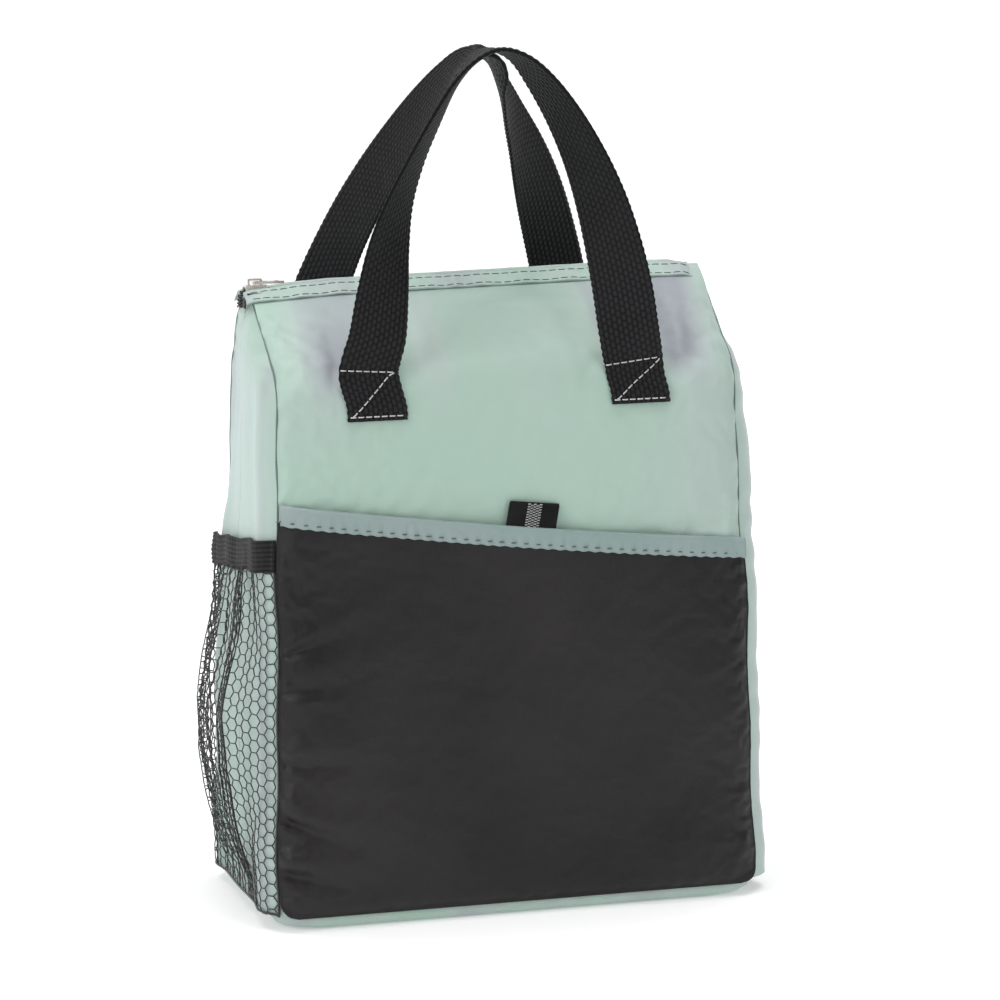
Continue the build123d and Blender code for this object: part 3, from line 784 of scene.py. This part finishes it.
def tray(rings):
    """Points and faces of a closed shallow form through stacked rings, capped at both ends."""
    loops = [ring_points(*ring) for ring in rings]
    centres = [loop.mean(axis=0) for loop in (loops[0], loops[-1])]
    for share in (0.75, 0.5, 0.25):
        shrink = share / (share + 0.25)
        loops.insert(0, centres[0] + (loops[0] - centres[0]) * shrink)
        loops.append(centres[1] + (loops[-1] - centres[1]) * shrink)
    i = np.arange(RING)
    j = (i + 1) % RING
    row = RING * np.arange(len(loops) - 1)[:, None]
    last, middle = RING * (len(loops) - 1), RING * len(loops)
    faces = spread(row + i, row + j, row + RING + j, row + RING + i).reshape(-1, 4).tolist()
    faces += spread(middle, j, i).tolist() + spread(middle + 1, last + i, last + j).tolist()
    return np.vstack([*loops, *centres]), faces


def make_base():
    """The mint bottom panel wraps up the walls, drawn in at its seam, with small diagonal tucks."""
    points, faces = tray([(7, 7, 18, 0.35), (3, 3, 18, 0.3), (0.8, 0.8, 16, 1.2), (-0.6, -0.7, 13, 3.0),
                          (-0.8, -0.9, 10, 5.0), (-0.1, -0.4, 7, 7.2), (1.0, 0.9, 5, 8.6), (3, 3, 5, 8.4)])
    x, y, z = points.T
    round_it = np.arctan2(y / HALF_D, x / HALF_W)
    run = np.where(np.abs(x) / HALF_W > np.abs(y) / HALF_D, y, x)
    tucks = np.sin(run / 2.1 + z / 1.7 + 1.5 * np.sin(run / 17)) * (0.5 + 0.5 * np.sin(run / 23 + 1))
    out_to = np.maximum(np.abs(y), np.abs(x) - HALF_W + HALF_D)
    tucks = 0.38 * tucks * smooth(1.0, 4.0, z) * smooth(HALF_D - 8, HALF_D - 2, out_to)
    points = points + spread(np.cos(round_it), np.sin(round_it), 0) * tucks[:, None]
    points[:, 2] = np.maximum(points[:, 2], 0.25)
    # Painted shade: the base panel is toned towards lilac-grey, with a random waver.
    tone = np.clip(0.25 + 0.2 * waves(x, y, 61, 50), 0, 0.5)
    base = make_object("base_panel", points, faces, mint_cloth, np.stack([x + z, y + z], 1), tone)
    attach(base, "bag")
    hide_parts("base_outer")
    points, faces = tray([(8, 8, 6, 0.9), (3.5, 3.5, 6, 1.2), (2.6, 2.6, 6, 4.0), (3.6, 3.6, 6, 7.0)])
    foam = make_object("base_foam_pad", points, faces, foam_white, points[:, :2])
    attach(foam, "bag")
    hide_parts("base_foam")
    points, faces = tray([(4.5, 4.5, 6, 7.3), (4.4, 4.4, 6, 7.7), (4.6, 4.6, 6, 8.0)])
    points[:, 2] += 0.25 * waves(points[:, 0], points[:, 1], 62, 40) * (points[:, 2] > 7.5)
    liner = make_object("base_liner_film", points, faces, liner_film, points[:, :2])
    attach(liner, "bag")
    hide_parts("base_liner")


make_base()


# ---- front pocket --------------------------------------------------------------------------------
# Deeper tucks that run in from the left seam and fan out: height, depth and slant.
TUCKS = [(113, 2.6, -0.25), (98, 1.6, -0.1), (69, 2.2, 0.05), (47, 3.8, 0.45), (25, 3.0, 0.25)]


def pocket_face(x, z):
    """y of the pocket's outer face: it stands off the wall and is drawn in at its seams."""
    left, right = x - (seam_x(z, -1) - 0.6), seam_x(z, 1) + 0.6 - x
    low, edge = z - POCKET_BOTTOM_Z, np.minimum(left, right)
    out = 6.6 * pillow(edge, 6.5) * (0.25 + 0.75 * pillow(low, 5.0))
    out += 1.1 * gathers(z, left, 71, 21, 13) + 0.30 * gathers(z, right, 72, 17, 8)
    out += 0.5 * gathers(x, low, 73, 9, 6)
    for height, depth, slant in TUCKS:
        fall = height - slant * left
        out -= depth * bump(z, fall, 1.6 + 0.12 * left) * np.exp(-left / 17) * (1 - np.exp(-left / 1.5))
        beside = bump(z, fall + 6 + 0.1 * left, 4 + 0.1 * left)
        out += 0.8 * depth * beside * np.exp(-left / 22) * pillow(left, 3)
    out -= 0.9 * bump(z, 34 + 0.42 * (x - 40), 12) * smooth(-20, 40, x) * pillow(edge, 12)
    out += 0.7 * waves(x, z, 74, 85) * pillow(edge, 15) + 0.10 * waves(x, z, 75, 16) * pillow(edge, 6)
    over_base = np.interp(low, [0, 2.5, 4.5, 7], [2.9, 2.7, 1.4, 0.5])  # it's sewn on over the base panel
    return -(HALF_D - 0.7) - np.maximum(out, over_base)


def pocket_surface(u, v):
    """The pocket as a surface of u across and v up."""
    x = (2 * u - 1) * HALF_W
    z = POCKET_BOTTOM_Z + (pocket_top(x) - POCKET_BOTTOM_Z) * v
    return np.stack([x, pocket_face(x, z), z], -1)


POCKET_FOLDS = Folds(pocket_surface, (2 * HALF_W, 150.0), 7)


def make_pocket():
    """The black pocket panel, as wide as the front wall, with rounded bottom corners."""
    count, corner = 190, 7.0
    v = np.linspace(0, 1, count)[:, None]
    share = np.sin(np.linspace(-math.pi / 2, math.pi / 2, count))
    low = (pocket_top(share * HALF_W) - POCKET_BOTTOM_Z + 1.0) * v
    z = POCKET_BOTTOM_Z + low
    inset = corner - np.sqrt(np.maximum(corner**2 - np.maximum(corner - low, 0) ** 2, 0))
    left, right = seam_x(z, -1), seam_x(z, 1)
    x = (left + right) / 2 + ((right - left) / 2 + 0.6 - inset) * share
    near = np.exp(-(HALF_W - np.abs(x)) / 22) + 0.7 * np.exp(-low / 14)
    folds = POCKET_FOLDS.at((share + 1) / 2, v) * (0.16 + 0.62 * np.minimum(near, 1))
    y = np.minimum(pocket_face(x, z) - folds * smooth(0, 9, low), -HALF_D + 0.2)
    face = np.stack([x, y, z], -1)
    back = face + np.array([0, 0.7, 0])
    piece = slab("front_pocket_cloth", face, back, np.stack([x, z], -1), pocket_cloth)
    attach(piece, "bag")
    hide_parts("pocket_panel")


def make_binding():
    """A mint strip folded over the pocket's top edge, puckered by its stitching."""
    around = np.array([(-1.05, 0.0), (-1.25, 0.9), (-1.2, 3.0), (-1.15, 5.5), (-1.0, BINDING - 1.0),
                       (-0.5, BINDING - 0.15), (0.15, BINDING + 0.1), (0.8, BINDING - 0.3),
                       (1.15, BINDING - 1.2), (1.25, 5.5), (1.25, 3.0), (1.2, 0.9), (1.0, 0.1)])
    out, up = around.T
    x = np.arange(seam_x(POCKET_LEFT_Z, -1) + 0.4, seam_x(POCKET_RIGHT_Z, 1) - 0.2, 0.6)[:, None]
    top = pocket_top(x)
    stitch = 0.5 + 0.5 * np.cos(TURN * x / 5.0)
    dent = 0.75 * stitch * np.exp(-(((up - 1.7) / 1.3) ** 2))
    fold = 0.25 * (bump(x, -43, 1.2) + bump(x, 19, 1.2))
    y = pocket_face(np.clip(x, -HALF_W + 4, HALF_W - 7), top - 1.5) + 0.35
    y = y + out + (dent - fold) * (out < 0) - 0.18 * waves(x, up * 3, 81, 22)
    grid = spread(x, y, top + up - 0.4 * (1 - stitch) * (up < 1.0))
    middle = grid.mean(axis=1, keepdims=True)
    inner = middle + (grid - middle) * np.array([1, 0.55, 0.93])
    piece = slab("pocket_binding_strip", grid, inner, spread(x, run_along(around)), mint_trim)
    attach(piece, "bag")
    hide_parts("pocket_binding")
    lines = []
    for at in np.arange(-HALF_W + 3.5, HALF_W - 5, 5.0):
        place = np.array([at, pocket_face(at, pocket_top(at) + 1.5) - 1.05, pocket_top(at) + 1.5])
        lines.append(place + np.array([[-1.0, 0.6, 0.05], [-0.5, 0.1, 0], [0.5, 0.1, 0], [1.0, 0.6, -0.1]]))
    dots = tubes("pocket_binding_stitches", lines, 0.3, thread_dark)
    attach(dots, "bag")
    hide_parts("binding_seam")


def make_tab():
    """A folded ribbon loop that stands up behind the pocket binding, with a dotted stripe."""
    lean, tilt = 0.20, 0.11
    width, height = 20.5, 15.0
    centre = (TAB_LOW[0] + TAB_HIGH[0]) / 2 - 1.2
    top, front = TAB_HIGH[2] - 2.6, TAB_LOW[1] - 0.3
    across = np.linspace(-0.5, 0.5, 60) * width
    v = np.linspace(0, 1, 40)[:, None]
    drop = height * (1 - v)
    rib = 0.10 * np.cos(TURN * across / 0.9) * np.cos(TURN * drop / 1.1)
    round_top = 0.9 * smooth(0.93, 1.0, v)
    x, y, z = centre + across - lean * drop, front + 0.5 * v**2, top - drop - tilt * across
    face, back = spread(x, y - rib + round_top, z), spread(x, y + 1.7 - round_top, z)
    piece = slab("loop_tab_ribbon", face, back, spread(across, drop), ribbon_black)
    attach(piece, "bag")
    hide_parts("loop_tab")
    marks = []
    for number, column in enumerate(np.linspace(-2.4, 2.4, 5)):
        for step in np.arange(0.7, height - 0.5, 1.05) + 0.52 * (number % 2):
            if step <= height - 0.8:
                mark = np.array([centre + column - lean * step, front - 0.02, top - step - tilt * column])
                marks.append(mark + np.array([[-0.5, 0.12, 0], [0, -0.1, -0.04], [0.5, 0.12, 0]]))
    dots = tubes("loop_tab_stripe", marks, 0.30, thread_grey)
    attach(dots, "bag")


make_pocket()
make_binding()
make_tab()


# ---- net pocket ----------------------------------------------------------------------------------
NET_TOP = 148.0  # at the front seam; the band drops towards the back
NET_DROP = 11.0
NET_BOTTOM = 6.5
NET_PITCH = 5.6
NET_SPAN = 61.0
NET_WIDTH, NET_HEIGHT = 165.0, 150.0  # laid flat
PLEAT_DEPTH = 7.5
BAND = 13.0


def net_top(y):
    """Height of the net's upper edge."""
    return NET_TOP - NET_DROP * (y + NET_SPAN) / (2 * NET_SPAN)


def net_bulge(y, z):
    """How far the net stands off the gusset's plane."""
    middle = np.interp(z, [6, 14, 30, 47, 62, 84, 104, 128, 150],
                       [2.0, 4.5, 9.0, 14.5, 18.5, 18.5, 15.5, 10.0, 5.2])
    return middle * (1 - (np.clip(np.abs(y), 0, NET_SPAN) / NET_SPAN) ** 2.2) + 0.8


def outside_gusset(y, z, out, gap):
    """x of a point out from the left seam, kept a gap away from the gusset's own cloth."""
    return seam_x(z, -1) - np.maximum(out, gusset_relief(y, z - BASE_Z, -1) + gap)


def net_point(q, v):
    """Point of the net: q runs across the flat net (mm) and v up it, 0 to 1."""
    # The net's slack is laid over in one long pleat, with softer gathers behind it.
    lap = np.sin(math.pi * np.clip((q - 28) / 26, 0, 2)) * (q < 80)
    gathered = smooth(80, 95, q) * (1 - smooth(155, 165, q))
    y = np.interp(q, [0, 28, 80, 165], [-NET_SPAN, -36, -14, NET_SPAN])
    y = y + PLEAT_DEPTH * lap * (0.9 + 0.35 * (1 - v)) + 2.2 * np.sin(TURN * q / 17 + 3 * v) * gathered
    y = np.clip(y, -NET_SPAN, NET_SPAN)
    z = NET_BOTTOM + (net_top(y) - NET_BOTTOM) * v
    out = net_bulge(y, z) + 1.3 * lap**2 + 1.5 * np.sin(TURN * q / 17 + 1.5) * gathered
    out = out + 0.7 * waves(q, v * 140, 91, 35) * smooth(0, 12, q)
    return np.stack([outside_gusset(y, z, out, 0.9), y, z], -1)


def make_net():
    """Hexagonal net, every thread a piece of cord, gathered under the band."""
    threads, nodes = [], {}
    rng = np.random.default_rng(5)
    col_step = NET_PITCH * math.sqrt(3) / 2
    side = NET_PITCH / math.sqrt(3)
    columns, steps = int(NET_WIDTH / col_step), 2 * math.ceil(NET_HEIGHT / NET_PITCH)

    def corner(i, j):
        """Hexagon corners lie on vertical zigzags; i counts zigzag lines and j steps up them."""
        if (i, j) not in nodes:
            shift = 0.25 if (i + j) % 2 else -0.25
            q = (i + 0.5) * col_step + shift * side + rng.normal(0, 0.16)
            h = j * NET_PITCH / 2 + rng.normal(0, 0.16)
            nodes[i, j] = np.array([np.clip(q, 0.3, NET_WIDTH - 0.3), np.clip(h / NET_HEIGHT, 0, 1)])
        return nodes[i, j]

    def thread(a, b):
        threads.append(net_point(*(a[:, None] + (b - a)[:, None] * np.linspace(0, 1, 4))))

    for i in range(columns):
        for j in range(steps):
            thread(corner(i, j), corner(i, j + 1))
            if (i + j) % 2 and i + 1 < columns:
                thread(corner(i, j), corner(i + 1, j))
    net = tubes("side_pocket_net", threads, 0.27, net_thread, sides=5)
    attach(net, "bag")
    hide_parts("mesh_pocket")
    t = np.linspace(0, 1, 60)
    hems = [net_point(0.3 + 0 * t, t), net_point(NET_WIDTH - 0.3 + 0 * t, t),
            net_point(t * NET_WIDTH, 0 * t + 0.004)]
    hem = tubes("side_pocket_net_hem", hems, 0.55, net_thread)
    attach(hem, "bag")


def make_band():
    """Ribbed elastic along the top of the net, sewn into both side seams."""
    v = np.linspace(0, 1, 71)[:, None]
    y = np.linspace(-NET_SPAN - 0.6, NET_SPAN + 0.4, 170) + 0 * v
    inward = NET_SPAN - np.abs(y)
    z = net_top(y) - 1.2 + BAND * v + 0.5 * np.sin(y / 7.0) * smooth(0, 20, inward)
    ridge = np.abs(np.cos(math.pi * v * 7)) ** 0.7
    out = net_bulge(y, np.full_like(z, 150)) * (1 - 0.10 * v) + 0.9
    out += 0.7 * np.sin(y / 5.2 + 0.8) * smooth(0, 25, inward) + 0.25 * v
    x = outside_gusset(y, z, out, 1.7)
    face = spread(x - 0.42 * ridge - 0.05 * np.cos(TURN * y / 0.9), y, z)
    # The tone follows the ribs: a painted highlight on their tops and painted shade in the grooves.
    piece = slab("side_pocket_elastic", spread(x + 0.9, y, z), face, spread(y, v * BAND), elastic_black,
                 0.85 * ridge + 0 * y)
    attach(piece, "bag")
    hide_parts("mesh_elastic")


make_net()
make_band()


# ---- handles -------------------------------------------------------------------------------------
# Points along each strap from the bottom of its left sewn end to that of its right one:
# x, y, z in millimetres and the twist in degrees.
ROUTES = {
    "front": [
        (-55.4, -64.9, 206.0, 0), (-55.8, -65.0, 212, 0), (-57.4, -63.6, 219, 0), (-58.2, -62.6, 225, 1),
        (-57.0, -63.6, 231, 4), (-54.5, -64.6, 240, 9), (-51.9, -64.0, 256, 20), (-48.7, -63.0, 274, 35),
        (-43.4, -61.5, 292, 51), (-35.8, -60.0, 309, 61), (-26.9, -58.5, 325, 67), (-18.2, -57.0, 339, 74),
        (-9.5, -56.0, 348.5, 84), (-0.8, -55.5, 352, 90), (8.5, -56.0, 348.5, 96), (17.1, -57.0, 339, 106),
        (25.9, -58.5, 325, 114), (33.5, -60.0, 309, 122), (39.5, -61.5, 292, 132), (44.0, -63.0, 274, 143),
        (47.4, -64.0, 256, 155), (49.5, -64.6, 240, 167), (51.0, -63.8, 231, 174), (52.2, -62.6, 225, 179),
        (52.9, -63.0, 219, 180), (53.9, -65.0, 213, 180), (54.4, -64.9, 208.0, 180),
    ],
    "back": [
        (-56.0, 64.6, 203.5, 0), (-56.0, 64.7, 211, 0), (-56.2, 62.9, 219, 0), (-56.4, 62.4, 225, 4),
        (-55.8, 62.2, 231, 12), (-54.0, 60.5, 240, 24), (-49.6, 54.0, 256, 42), (-43.6, 44.0, 274, 54),
        (-36.6, 31.0, 292, 61), (-29.1, 17.0, 309, 68), (-21.0, 2.0, 325, 74), (-12.7, -14.0, 339, 80),
        (-6.5, -25.0, 347, 86), (-0.8, -28.8, 350, 90), (5.0, -25.0, 347, 98), (11.2, -14.0, 339, 108),
        (20.5, 2.0, 325, 120), (30.3, 17.0, 309, 134), (39.2, 31.0, 292, 150), (47.1, 44.0, 274, 163),
        (53.5, 54.0, 256, 172), (57.5, 60.5, 240, 177), (58.6, 62.2, 231, 179), (59.0, 62.4, 225, 180),
        (58.6, 62.9, 219, 180), (58.0, 64.7, 211, 180), (57.8, 64.6, 203.5, 180),
    ],
}
STRAP_STEP = 0.42
COLUMN_PITCH, ROW_PITCH = 2.05, 2.9  # of the webbing's basket weave
SEWN_TOPS = (20.4, 17.8)  # height of the upper seam on a strap's left and right sewn end


def strap_frame(face, step):
    """Centre line with unit vectors across and out of the strap."""
    side = FACES[face]
    line = curve_through(ROUTES[face], step)
    centre, twist = line[:, :3], np.radians(line[:, 3])
    tangent = unit(np.gradient(centre, axis=0))
    across = spread(-np.cos(twist), side * np.sin(twist), 0)
    # The sewn ends were cut straight and sewn on askew, so they are sheared, not turned.
    free = smooth(214, 232, centre[:, 2:])
    across = unit(across - tangent * (across * tangent).sum(1, keepdims=True) * free)
    return centre, across, unit(np.cross(tangent, across) * -side)


def make_strap(face):
    """One handle with its sewn ends: heavy basket-weave webbing with rounded selvedges."""
    centre, across, out = strap_frame(face, STRAP_STEP)
    u = np.linspace(-0.5, 0.5, 62)
    run = (np.arange(len(centre)) * STRAP_STEP)[:, None]
    column = (u + 0.5) * WEBBING / COLUMN_PITCH
    which = np.floor(column)
    shifted = run / ROW_PITCH + 0.5 * (which % 2)
    weave = np.sin(math.pi * (column - which)) ** 0.7 * np.abs(np.sin(math.pi * shifted)) ** 0.7
    edge = np.clip((0.5 - np.abs(u)) * WEBBING / 0.8, 0, 1)
    half = 0.36 * WEBBING_THICK * np.sqrt(np.maximum(1 - (1 - edge) ** 2, 0.05))
    half = half + 0.5 * weave * smooth(0, 1, edge)
    selvedge = 0.16 * np.sin(TURN * run / ROW_PITCH) * (np.abs(u) > 0.485)
    cup = 0.5 * (1 - (2 * u) ** 2) * np.sin(np.linspace(0, math.pi, len(centre)))[:, None]
    base = centre[:, None] + across[:, None] * (u * (WEBBING - 0.4) + selvedge)[..., None]
    faces = [base + out[:, None] * (cup + way * half)[..., None] for way in (FACES[face], -FACES[face])]
    # The tone is the weave's height: a painted highlight on the raised threads and painted shade in the
    # gaps.
    piece = slab(f"{face}_carry_strap", *faces, spread(u * WEBBING, run), webbing_black, weave * edge)
    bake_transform(piece)
    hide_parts(f"{face}_handle", f"{face}_left_patch", f"{face}_right_patch")


def make_strap_stitches(face):
    """White seams on both sewn ends: across the top, across the bottom and one diagonal."""
    centre, across, out = strap_frame(face, 0.5)
    right = across * np.where(across[:, :1] > 0, 1, -1)
    strap = np.hstack([centre, right, out])
    t = np.linspace(0, 1, 30)
    half, low = WEBBING / 2 - 0.8, 1.9
    lines = []
    for end, top in zip((strap, strap[::-1]), SEWN_TOPS):
        rise = run_along(end[:, :3])
        for up, sideways in ((low + 0 * t, half * (2 * t - 1)), (top + 0 * t, (half + 0.6) * (2 * t - 1)),
                             (low + (top - low) * t, -half + 1.2 + (2 * half - 1.6) * t)):
            place, aside, outward = np.hsplit(columns_at(up, rise, end), 3)
            lines.append(np.hstack([place + aside * sideways[:, None] + outward * 1.12, outward]))
    piece = stitches(f"{face}_strap_stitches", lines, thread_white, 2.2, 1.0, 0.27, 0.38)
    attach(piece, "bag")
    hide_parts(f"{face}_patch_threads")


for face in FACES:
    make_strap(face)
    make_strap_stitches(face)


# ---- zip strips, tape and coils ------------------------------------------------------------------
FACING = 9.2
CHAIN_END = TAPE_HIGH[0]
TAPE_MIDDLE = (TAPE_LOW[2] + TAPE_HIGH[2]) / 2
COIL_PITCH = 1.35


def facing_point(x, s, lift, face):
    """Points of the zip strip: on the wall's cloth, with ripples from its two seams."""
    z = wall_profile(s)[1]
    on_wall = wall_relief(face, np.clip(x, seam_x(z, -1) + 6, seam_x(z, 1) - 6), np.minimum(s, S_TOP - 1), z)
    ripple = 0.35 * np.sin(x / 2.6 + 2.5 * waves(x, 0, 101, 45)) * bump(s, S_TOP - 6, 4)
    droop = 0.8 * smooth(72, 96, -x) * smooth(S_TOP - FACING, S_TOP, s) + 2.0 * smooth(89, 99, x)
    return off_wall(x, s, on_wall + 1.0 + ripple + lift, ridge_rise(x, s) - droop)


def make_facing(face):
    """The strip along the ridge, folded over the edge, with two rows of dark stitches."""
    x, s = np.meshgrid(np.arange(-97.0, 98.8, 0.9), S_TOP - FACING + np.linspace(0, FACING - 0.6, 16))
    shut = smooth(0, 3.5, 97 - np.abs(x + 0.8))
    on_wall = facing_point(x, s, -0.9 * (1 - shut), face)
    # Past the ridge the strip turns down and in, towards the zip tape.
    turned = np.array([(0, 0.7, 0.45), (0, 1.5, 0.3), (0, 2.2, -0.4), (0, 2.6, -1.5)])
    outer = np.concatenate([on_wall, on_wall[-1:] + turned[:, None]])
    inner = outer + np.array([0, 0.35, -0.75])
    uv = spread(x[0], np.arange(len(outer))[:, None] * 0.6)
    # Painted shade: the strip is toned towards lilac-grey, with a random waver.
    tone = np.clip(0.28 + 0.25 * waves(uv[..., 0], 0, 103, 40), 0, 0.5)
    if face == "back":
        outer, inner = (grid * np.array([1, -1, 1]) for grid in (inner, outer))
    piece = slab(f"{face}_zip_strip", outer, inner, uv, mint_cloth, tone)
    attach(piece, f"{face}_flap")
    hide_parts(f"{face}_zip_facing")
    for row, down in (("upper", 1.8), ("lower", FACING - 1.5)):
        at = np.arange(-95.0, 95.0, 1.0)
        points = facing_point(at, np.full_like(at, S_TOP - down), 0.05, face)
        line = np.hstack([points, np.tile([0, -math.cos(LEAN), math.sin(LEAN)], (len(at), 1))])
        line[:, [1, 4]] *= -FACES[face]
        seam = stitches(f"{face}_zip_strip_{row}_stitches", [line], thread_dark, 3.1, 1.0, 0.20, 0.16)
        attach(seam, f"{face}_flap")
        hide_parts(f"{face}_facing_{row}_seam")


def coil_turns(length, face):
    """Distance along a coil of the given length, its sideways swing and its rise."""
    turns = length / COIL_PITCH
    t = np.linspace(0, turns, int(turns * 12))
    angle = TURN * t + (0 if face == "front" else math.pi)
    return t * COIL_PITCH, -FACES[face] * 0.95 * np.cos(angle), 0.52 * np.sin(angle)


def chain_half(face, side_name):
    """Half of one side's tape and coil, from the middle of the mouth to one end."""
    side, sign = SIDES[side_name], FACES[face]
    x = side * np.linspace(0, CHAIN_END + 14.0, 120)[:, None]
    across = np.linspace(1.3, 10.0, 9)
    grid = spread(x, sign * across, TAPE_MIDDLE + 0.12 * np.sin(x / 3.0))
    up = np.array([0, 0, 0.28]) * side * sign
    tape = slab(f"{face}_zip_tape_{side_name}", grid + up, grid - up, spread(x, across), tape_black)
    at, swing, rise = coil_turns(CHAIN_END + 13.0, face)
    middle_y = sign * (abs(COIL_LOW[1]) + abs(COIL_HIGH[1])) / 2
    middle_z = (COIL_LOW[2] + COIL_HIGH[2]) / 2 - 0.05
    line = np.stack([side * at, middle_y + swing, middle_z + rise], 1)
    coil = tubes(f"{face}_zip_coil_{side_name}", [line], 0.30, coil_nylon)
    for piece in (tape, coil):
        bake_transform(piece)
    if side_name == "left":
        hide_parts(f"{face}_zip_tape")
        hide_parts(f"{face}_zip_coil")


def make_tail(side_name):
    """The end of the zipper: tape and both coils fold down over the gusset."""
    side = SIDES[side_name]
    radius, outer_x, top = 3.0, HALF_W - 3.6, TAPE_MIDDLE + 0.4
    middle_x, middle_z = outer_x - radius, top - radius
    turn = np.linspace(0, math.pi / 2, 9)[1:]
    flat = spread(np.linspace(outer_x - 7.0, middle_x, 6), top)
    bend = spread(middle_x + radius * np.sin(turn), middle_z + radius * np.cos(turn))
    hang = np.linspace(0.6, 3.4, 5)
    path = np.vstack([flat, bend, spread(outer_x + 0.08 * hang, middle_z - hang)])
    slope = unit(np.gradient(path, axis=0))
    normal = np.stack([-slope[:, 1], slope[:, 0]], 1)
    across = np.linspace(-7.0, 7.0, 15)
    run = run_along(path)

    def lifted(height):
        p = path + normal * height
        return spread(side * p[:, :1], across, p[:, 1:])

    tape = slab(f"{side_name}_zip_end_tape", lifted(0.3 * side), lifted(-0.3 * side),
                spread(run[:, None], across), tape_black)
    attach(tape, "bag")
    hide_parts(f"{side_name}_zip_tail")
    lines = []
    for face, sign in FACES.items():
        at, swing, rise = coil_turns(run[-1], face)
        p = columns_at(at, run, path) + columns_at(at, run, normal) * (1.05 + rise)[:, None]
        lines.append(np.stack([side * p[:, 0], sign * 1.75 + swing, p[:, 1]], 1))
    coils = tubes(f"{side_name}_zip_end_coils", lines, 0.30, coil_nylon)
    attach(coils, "bag")


for face in FACES:
    make_facing(face)
    for side_name in SIDES:
        chain_half(face, side_name)
for side_name in SIDES:
    make_tail(side_name)
for node in ("slider_body", "slider_crown", "slider_pull"):
    for slot in frame["nodes"][node].material_slots:
        slot.material = nickel


# ---- camera, floor and light ---------------------------------------------------------------------
def make_camera():
    """A long lens slightly above and to the left of the bag."""
    yaw, elevation, roll = (math.radians(a) for a in (-14.39, 6.97, 1.39))
    level = math.cos(elevation)
    back = Vector((math.sin(yaw) * level, -math.cos(yaw) * level, math.sin(elevation)))
    right = Vector((math.cos(yaw), math.sin(yaw), 0))
    up = back.cross(right)
    rolled_right = right * math.cos(roll) - up * math.sin(roll)
    rolled_up = right * math.sin(roll) + up * math.cos(roll)
    data = bpy.data.cameras.new("camera")
    data.lens = 137.03
    data.sensor_width = 36
    data.shift_x = 0.0259
    data.shift_y = -0.00275
    camera = add_object("camera", data)
    turned = Matrix((rolled_right, rolled_up, back)).transposed().to_4x4()
    camera.matrix_world = Matrix.Translation(Vector((0, 0, 0.165)) + back * 1.6) @ turned
    bpy.context.scene.camera = camera


def make_floor():
    """A plain white sweep: flat under the bag, curving up far behind it."""
    n = Nodes("floor_white", 0.9)
    cloudy = n.noise(n.coordinates("Object"), 3, 2)
    n.shade(Base_Color=n.mix(cloudy, (0.87, 0.87, 0.87), (0.89, 0.89, 0.89)), Emission_Color=(1, 1, 1, 1),
            Emission_Strength=n.remap(n.tone(), 0, 1, 0.28, 0.50))
    turn = np.linspace(0, math.pi / 2, 24)[1:]
    run = np.r_[-3000, 200, 400, 600, 800, 1000, 1200, 1200 + 2500 * np.sin(turn), 3700]
    rise = np.r_[np.zeros(7), 2500 - 2500 * np.cos(turn), 6000]
    grid = spread(np.array([-6000.0, 6000.0]), run[:, None], rise[:, None])
    far = smooth(300, 1500, grid[..., 1] + grid[..., 2])
    floor = make_object("floor", grid.reshape(-1, 3), grid_faces(len(run), 2).tolist(), n.material, tone=far)


def make_light(name, place, size, power, colour=(1, 1, 1)):
    """A square softbox aimed at the middle of the bag."""
    data = bpy.data.lights.new(name, "AREA")
    data.shape = "RECTANGLE"
    data.size, data.size_y = size
    data.energy = power
    data.color = colour
    light = add_object(name, data)
    light.location = place
    light.rotation_euler = (Vector((0, 0, 0.17)) - Vector(place)).to_track_quat("-Z", "Y").to_euler()


make_camera()
make_floor()
world = bpy.data.worlds.new("studio")
world.use_nodes = True
world.node_tree.nodes["Background"].inputs["Color"].default_value = (1, 1, 1, 1)
world.node_tree.nodes["Background"].inputs["Strength"].default_value = 0.31
bpy.context.scene.world = world
bpy.context.scene.view_settings.view_transform = "Standard"
make_light("left_softbox", (-1.7, -0.9, 1.1), (0.8, 1.1), 14)
make_light("right_softbox", (0.85, -1.9, 1.0), (0.7, 1.2), 5.4, (1.0, 0.98, 0.99))
make_light("top_softbox", (0.0, -0.15, 1.9), (2.0, 1.5), 27)
